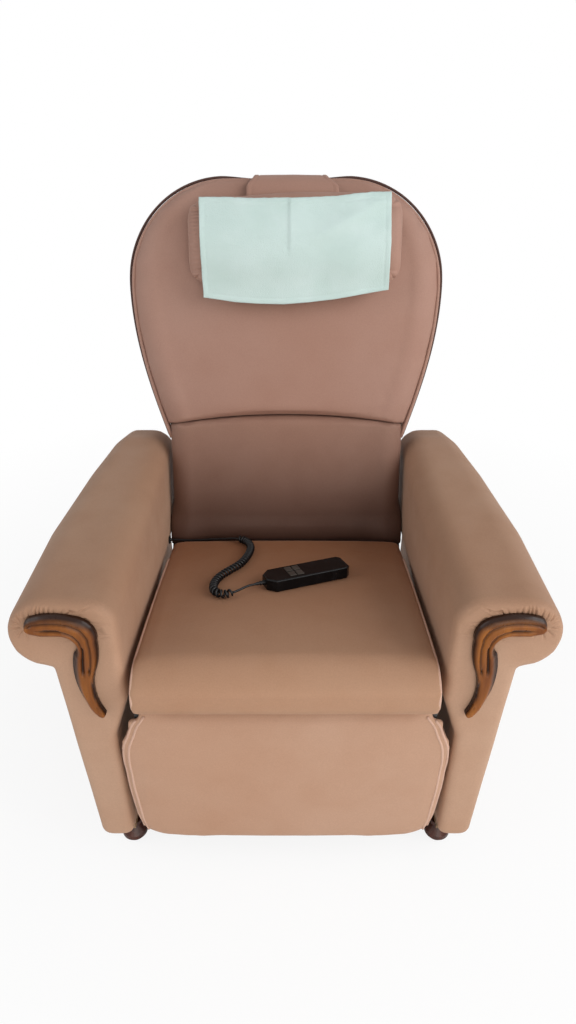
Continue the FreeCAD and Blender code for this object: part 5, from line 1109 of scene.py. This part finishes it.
for side, name in ((-1, "left"), (1, "right")):
    block = bmesh.new()
    face = block.faces.new([block.verts.new((side * x, SCROLL_BACK, z)) for x, z in SCROLL_EDGE])
    grown = bmesh.ops.extrude_face_region(block, geom=[face])["geom"]
    bmesh.ops.translate(block, verts=[v for v in grown if isinstance(v, bmesh.types.BMVert)],
                        vec=(0, -SCROLL_DEEP, 0))
    bmesh.ops.recalc_face_normals(block, faces=block.faces)
    scroll = placed("arm_scroll_" + name, bpy.data.meshes.new("arm_scroll_" + name))
    block.to_mesh(scroll.data)
    block.free()
    remeshed(scroll, 0.0013)
    spots = positions(scroll)
    shine = np.zeros(len(spots), np.float32)
    for index, (x, y, z) in enumerate(spots):
        middle_off, travel = along_line(SCROLL_LINE, x * side, z)
        edge_off, _ = along_line(SCROLL_EDGE + SCROLL_EDGE[:1], x * side, z)
        hand = 1 if outer_side(x * side, z) else -1
        u = hand * middle_off / max(middle_off + edge_off, 1e-6)
        inner_groove = held((0.172 - travel) / 0.012) * held((travel - 0.012) / 0.02)
        channel = stepped(travel, 0.09, 0.14) * stepped(travel, 0.272, 0.238)
        high = (1 - 0.26 * bell(u, 0.36, 0.11) * stepped(travel, 0.262, 0.235)
                - 0.40 * inner_groove * bell(u, -0.28, 0.11)
                - 0.75 * max(0.0, -u - 0.42) * channel
                - 0.55 * max(0.0, (abs(u) - 0.55) / 0.45) ** 2.0)
        high *= 0.62 + 0.38 * held((0.285 - travel) / 0.03) ** 0.5
        spots[index, 1] = SCROLL_BACK + (y - SCROLL_BACK) * max(high, 0.25)
        # Painted shade: the scroll's outer bead along its top is painted darker where it faces up.
        painted_shade = 0.45 * stepped(u, 0.25, 0.6) * stepped(z, 0.575, 0.59)
        shine[index] = held((high - 0.55) / 0.45) * (1 - painted_shade)
    move_to(scroll, spots)
    scroll.data.attributes.new("carving_lit", "FLOAT", "POINT").data.foreach_set("value", shine)
    eased(scroll, 2)
    bpy.ops.object.shade_smooth()
    dress(scroll, "seat_base", scroll_varnish, ["arm_trim_" + name])

# Feet: turned bun feet in dark mahogany varnish.
foot_mahogany, _, _ = wood_finish("foot_mahogany", (0.080, 0.020, 0.010), (0.030, 0.008, 0.005),
                                  60, 0.07)
coat(foot_mahogany, "foot_front_left", "foot_front_right", "foot_rear_left", "foot_rear_right")

# Hidden timber: plywood arm frames, back board and legrest board.
frame_timber, _, _ = wood_finish("frame_timber", (0.30, 0.19, 0.10), (0.20, 0.12, 0.06),
                                 40, 0.0, 0.3)
coat(frame_timber, "arm_frame_left", "arm_frame_right", "back_board", "legrest_board")

# Steel: black powder-coated rails, plates and levers, zinc-plated axles, rods and bolts, and
# plain drawn tubes on the motors.
powder_coat = plastic("powder_coat", (0.014, 0.014, 0.015), (0.03, 0.03, 0.032),
                      1400, 0.42, 0.55, 0.35)
zinc_plate = plastic("zinc_plate", (0.52, 0.52, 0.54), (0.44, 0.43, 0.42),
                     900, 0.28, 0.42, 0.08, metallic=1)
drawn_tube = plastic("drawn_tube", (0.50, 0.51, 0.53), (0.42, 0.43, 0.44),
                     700, 0.35, 0.48, 0.08, metallic=1)
coat(powder_coat, "front_rail", "rear_rail", "seat_plate_left", "seat_plate_right",
     "back_bracket_left", "back_bracket_right", "legrest_arms", "back_lever", "legrest_lever")
coat(zinc_plate, "frame_bolts", "back_axle", "legrest_axle", "back_rod", "legrest_rod",
     "motor_pins")
coat(drawn_tube, "back_tube", "legrest_tube")

# Motors and control box: fine-textured black housings.
housing_black = plastic("housing_black", (0.018, 0.018, 0.019), (0.04, 0.04, 0.042),
                        1100, 0.5, 0.62, 0.5)
coat(housing_black, "back_motor", "legrest_motor", "control_box", "control_box_lid", "mains_inlet")

# Webbing: woven elastic straps under the cushion.
woven, tree, surface, where = finish("woven_webbing", (0.03, 0.03, 0.03), 0.85)
across = textured(tree, "Wave", where, 160)
across.bands_direction = "X"
along = textured(tree, "Wave", where, 160)
along.bands_direction = "Y"
threads = worked(tree, "MULTIPLY", across.outputs["Fac"], along.outputs["Fac"])
tree.links.new(blended(tree, threads, (0.016, 0.016, 0.016), (0.06, 0.058, 0.055)),
               surface.inputs["Base Color"])
relief(tree, surface, threads, 0.6, 0.0006)
coat(woven, "seat_webbing")

low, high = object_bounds()
